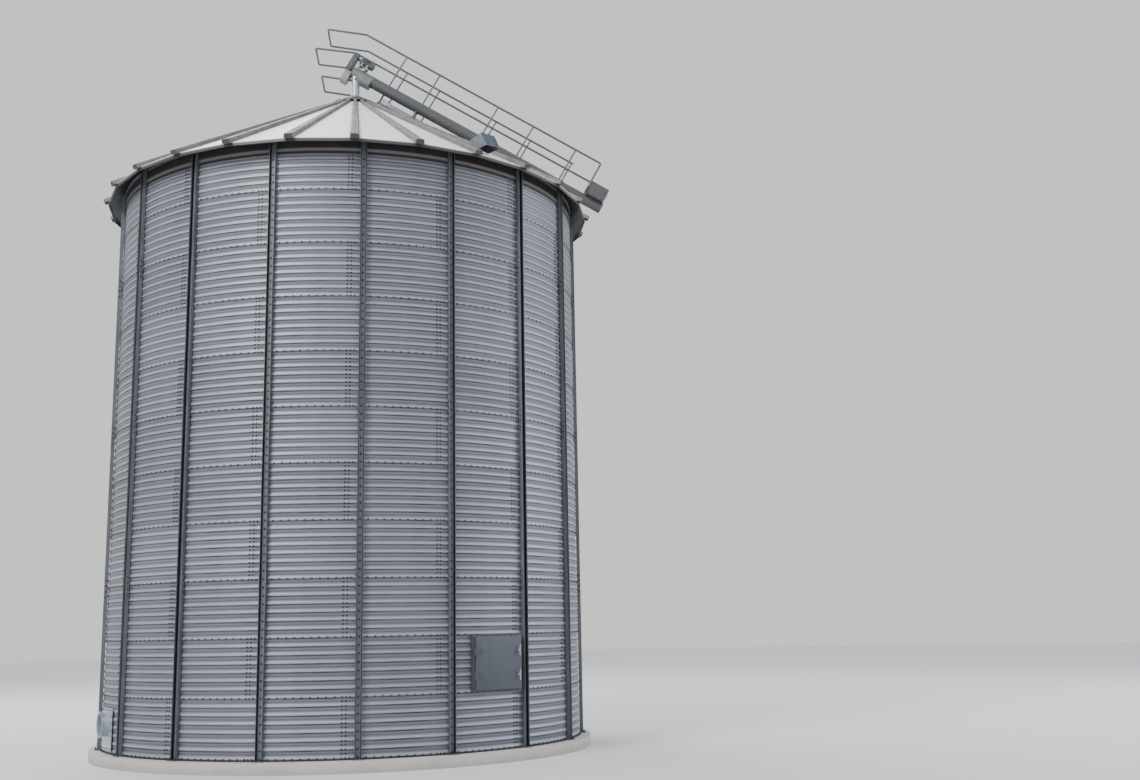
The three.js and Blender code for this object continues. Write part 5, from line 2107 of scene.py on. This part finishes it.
class SILO_OT_door_frame(Operator):
    """Build the manway's frame with its bolts and hinge lugs"""

    bl_idname = "silo.door_frame"
    bl_label = "Manway frame"

    def execute(self, context):
        piece("frame_bars", frame_bars(), "door_steel", ["door_frame"])
        fixings("frame_bolts", frame_bolts())
        return {"FINISHED"}


def door_plate():
    """The door's dished plate, with the barrels and leaves of its hinges."""
    form = Form()
    form.loft([upright_ring(DOOR_SIDE, DOOR_LOW, DOOR_HIGH, *station, 4) for station in DOOR_SKIN])
    back = DOOR_FACE + 0.0005
    leaf = [(HINGE_X, HINGE_Y - BARREL_RADIUS), (HINGE_X, LEAF_FACE), (LEAF_END, LEAF_FACE), (LEAF_END, back),
            (LEAF_START, back), (HINGE_X + 0.004, HINGE_Y + 0.009)]
    for level in HINGE_LEVELS:
        profile = barrel(BARREL_BORE, level - BARREL_HALF, level + BARREL_HALF)
        form.turned(profile, HINGE_AT, sides=24, loop=True)
        form.loft([[(x, y, z) for x, y in leaf] for z in (level - LEAF_HALF, level + LEAF_HALF)])
    return form


def door_gasket():
    """The gasket round the door's back."""
    form = Form()
    form.loft([upright_ring(DOOR_SIDE, DOOR_LOW, DOOR_HIGH, drawn_in, 0.01, depth, 3)
               for drawn_in, depth in GASKET_SKIN], loop=True)
    return form


def door_bolts():
    """The bolts through the hinges' leaves."""
    form = Form()
    form.bolts((facing_front(x, level + rise, LEAF_FACE) for level in HINGE_LEVELS for x in LEAF_BOLT_PLACES
                for rise in (-LEAF_BOLT_RISE, LEAF_BOLT_RISE)), LEAF_BOLT)
    return form


def door_latches():
    """The two latches: a turned stem, a bent handle and a nut."""
    form = Form()
    x, y = DOOR_SIDE - LATCH_INSET, DOOR_FACE - HANDLE_OUT
    for level in HINGE_LEVELS:
        form.turned(LATCH_STEM, (x, DOOR_FACE, level), (0, -1, 0), 24)
        form.turned(LATCH_NUT, (x, DOOR_FACE, level), (0, -1, 0), 6)
        low, high = level - HANDLE_HALF, level + HANDLE_HALF
        handle = [(x + HANDLE_HOOK, y, low), (x, y, low), (x, y, high), (x + HANDLE_HOOK, y, high)]
        form.tube(bent(handle, HANDLE_RADIUS), HANDLE_RADIUS, 12)
    return form


class SILO_OT_door(Operator):
    """Build the manway door with its hinges, gasket and latches"""

    bl_idname = "silo.door"
    bl_label = "Manway door"

    def execute(self, context):
        latches = ["door_latch_1", "door_latch_2"]
        piece("door_plate", door_plate(), "door_steel", ["door_panel"], DOOR)
        piece("door_gasket", door_gasket(), "rubber", body=DOOR)
        fixings("door_bolts", door_bolts(), DOOR)
        piece("door_latches", door_latches(), "bright_steel", latches, DOOR)
        return {"FINISHED"}


# Port

DUCT_RADIUS = 0.180
DUCT_BORE = 0.176
DUCT_BACK = 3.956
DUCT_REACH = 4.146
# The weld ring, outwards from the duct and from the plate's back
DUCT_WELD = ((0, 0.03), (0.003, 0.034), (0.003, 0.044), (0, 0.048))
# The open flange: radius, and distance inwards from the duct's end
DUCT_FLANGE = ((0.180, 0.014), (0.184, 0.008), (0.200, 0.007), (0.205, 0.005), (0.205, 0.002), (0.203, 0),
               (0.186, 0), (0.176, 0.004))
PLATE_LOW = 0.215 - PORT_HEIGHT
PLATE_HIGH = 0.860 - PORT_HEIGHT
PLATE_WIDTH = 0.62
PLATE_HOLE = 0.179
PLATE_SHEET = 0.008
PLATE_BOLTS_AT = 0.285
PLATE_BOLTS_END = 0.03
PLATE_BOLTS_FROM = 0.12


def port_frame():
    """A frame on the silo's axis at the port's height, with Z out through the port."""
    return facing(PORT_BEARING, 0.0, PORT_HEIGHT)


def port_duct():
    """The duct through the wall, with its weld ring and its open flange."""
    back = sizes("wall").post_back
    profile = [(DUCT_BORE, DUCT_BACK), (DUCT_RADIUS, DUCT_BACK)]
    profile += [(DUCT_RADIUS + out, back + rise) for out, rise in DUCT_WELD]
    profile += [(radius, DUCT_REACH - inward) for radius, inward in DUCT_FLANGE]
    return Form(port_frame()).turned(profile, sides=64, loop=True)


def port_plate():
    """The flat plate round the duct, with a hole for it."""
    back = sizes("wall").post_back
    middle = (PLATE_LOW + PLATE_HIGH) / 2
    edge = [(x, y + middle) for x, y in rounded(PLATE_WIDTH, PLATE_HIGH - PLATE_LOW, 0.012, 12)]
    hole = [unit(point) * PLATE_HOLE for point in edge]
    form = Form(port_frame())
    form.loft([[(*point, depth) for point in outline] for outline, depth in (
        (hole, back), (edge, back), (edge, back + PLATE_SHEET), (hole, back + PLATE_SHEET))], loop=True)
    return form


def port_bolts():
    """The bolts round the port's plate."""
    face = sizes("wall").post_back + PLATE_SHEET
    spots = [(x, y) for x in np.linspace(-PLATE_BOLTS_AT, PLATE_BOLTS_AT, 7)
             for y in (PLATE_LOW + PLATE_BOLTS_END, PLATE_HIGH - PLATE_BOLTS_END)]
    spots += [(side * PLATE_BOLTS_AT, y) for side in SIDES
              for y in np.linspace(PLATE_LOW + PLATE_BOLTS_FROM, PLATE_HIGH - PLATE_BOLTS_FROM, 5)]
    return Form(port_frame()).bolts((standing((x, y, face)) for x, y in spots), PORT_BOLT)


class SILO_OT_port(Operator):
    """Build the aeration port on its backing plate"""

    bl_idname = "silo.port"
    bl_label = "Aeration port"

    def execute(self, context):
        piece("port_duct", port_duct(), "bright_steel", ["aeration_port"])
        piece("port_plate", port_plate(), "bright_steel", ["aeration_port"])
        fixings("port_bolts", port_bolts())
        return {"FINISHED"}


# Stage

CAMERA_AT = (-12.862, -19.322, 1.980)
CAMERA_TURN = (-43.47, 100.459, -1.113)
CAMERA_LENS = 40.49
CAMERA_SENSOR = 36
CAMERA_END = 400

FLOOR_RADIUS = 90
FLOOR_LOW = -0.05
FLOOR_TOP = -0.0005

HORIZON = (0.90, 0.90, 0.89)
ZENITH = (0.86, 0.90, 0.98)
AIR_STRENGTH = 1.0

LIGHT_TARGET = (0, 0, 5.5)
# Each light's name, place, size, power in watts and colour
LIGHTS = (
    ("key", (-30, -8, 30), (12, 12), 10500, (1.0, 0.98, 0.95)),
    ("fill", (26, -18, 14), (16, 12), 3600, (0.93, 0.95, 1.0)),
    ("back", (4, 20, 26), (16, 16), 6000, (0.96, 0.98, 1.0)),
)


def lay_floor():
    """Lays the pale floor under the silo."""
    form = Form()
    form.turned([(FLOOR_RADIUS, FLOOR_LOW), (FLOOR_RADIUS, FLOOR_TOP)], sides=96)
    mesh = form.mesh("studio_floor")
    mesh.materials.append(material("studio_floor"))
    floor = bpy.data.objects.new("studio_floor", mesh)
    bpy.context.scene.collection.objects.link(floor)


def fill_air():
    """Makes the soft light that comes from all round."""
    scene = bpy.context.scene
    scene.world = bpy.data.worlds.new("studio_air")
    air = Shader("studio_air", scene.world, "Generated")
    tint = air.mix(air.ramp(air.z, (0, 0), (1, 1)), HORIZON, ZENITH)
    glow = air.node("ShaderNodeBackground", inputs={"Color": tint, "Strength": AIR_STRENGTH})
    air.node("ShaderNodeOutputWorld", inputs={"Surface": glow})


def hang_light(name, place, size, power, colour):
    """Hangs a large soft light that faces the silo."""
    light = bpy.data.lights.new(name, "AREA")
    light.shape = "RECTANGLE"
    light.size, light.size_y = size
    light.energy = power
    light.color = colour
    made = bpy.data.objects.new(name, light)
    bpy.context.scene.collection.objects.link(made)
    aim = (Vector(LIGHT_TARGET) - Vector(place)).to_track_quat("-Z", "Y")
    made.matrix_world = Matrix.Translation(place) @ aim.to_matrix().to_4x4()


def set_camera():
    """Sets the camera at the photograph's viewing angle."""
    scene = bpy.context.scene
    lens = bpy.data.cameras.new("camera")
    lens.sensor_width = CAMERA_SENSOR
    lens.lens = CAMERA_LENS
    lens.clip_end = CAMERA_END
    camera = bpy.data.objects.new("camera", lens)
    scene.collection.objects.link(camera)
    about, tilt, roll = (math.radians(angle) for angle in CAMERA_TURN)
    camera.matrix_world = (Matrix.Translation(CAMERA_AT) @ Matrix.Rotation(about, 4, "Z")
                           @ Matrix.Rotation(tilt, 4, "X") @ Matrix.Rotation(roll, 4, "Z"))
    scene.camera = camera


class SILO_OT_stage(Operator):
    """Set the floor, the lights, the background and the camera"""

    bl_idname = "silo.stage"
    bl_label = "Studio stage"

    def execute(self, context):
        lay_floor()
        fill_air()
        for light in LIGHTS:
            hang_light(*light)
        set_camera()
        return {"FINISHED"}


class SILO_PT_panel(Panel):
    """Lists the silo's pieces in the sidebar"""

    bl_idname = "SILO_PT_panel"
    bl_label = "Grain silo"
    bl_space_type = "VIEW_3D"
    bl_region_type = "UI"
    bl_category = "Silo"

    def draw(self, context):
        for operator in OPERATORS:
            self.layout.operator(operator.bl_idname)


OPERATORS = (
    SILO_OT_base, SILO_OT_wall, SILO_OT_wall_bolts, SILO_OT_posts, SILO_OT_roof, SILO_OT_cap, SILO_OT_hoods,
    SILO_OT_auger, SILO_OT_drive, SILO_OT_hopper, SILO_OT_walkway, SILO_OT_handrails, SILO_OT_door_frame,
    SILO_OT_door, SILO_OT_port, SILO_OT_stage)
GROUPS = {"silo_wall": SiloWallSizes, "silo_roof": SiloRoofSizes, "silo_auger": SiloAugerSizes,
          "silo_colours": SiloColours}


def register():
    """Makes the sizes, the operators and the panel known to Blender."""
    for known in (*GROUPS.values(), *OPERATORS, SILO_PT_panel):
        bpy.utils.register_class(known)
    for name, group in GROUPS.items():
        setattr(bpy.types.Scene, name, PointerProperty(type=group))


def unregister():
    """Takes them out of Blender again."""
    for name in GROUPS:
        delattr(bpy.types.Scene, name)
    for known in (SILO_PT_panel, *OPERATORS, *GROUPS.values()):
        bpy.utils.unregister_class(known)


def main():
    """Builds every piece in order."""
    register()
    for operator in OPERATORS:
        group, name = operator.bl_idname.split(".")
        getattr(getattr(bpy.ops, group), name)()


if __name__ == "__main__":
    main()
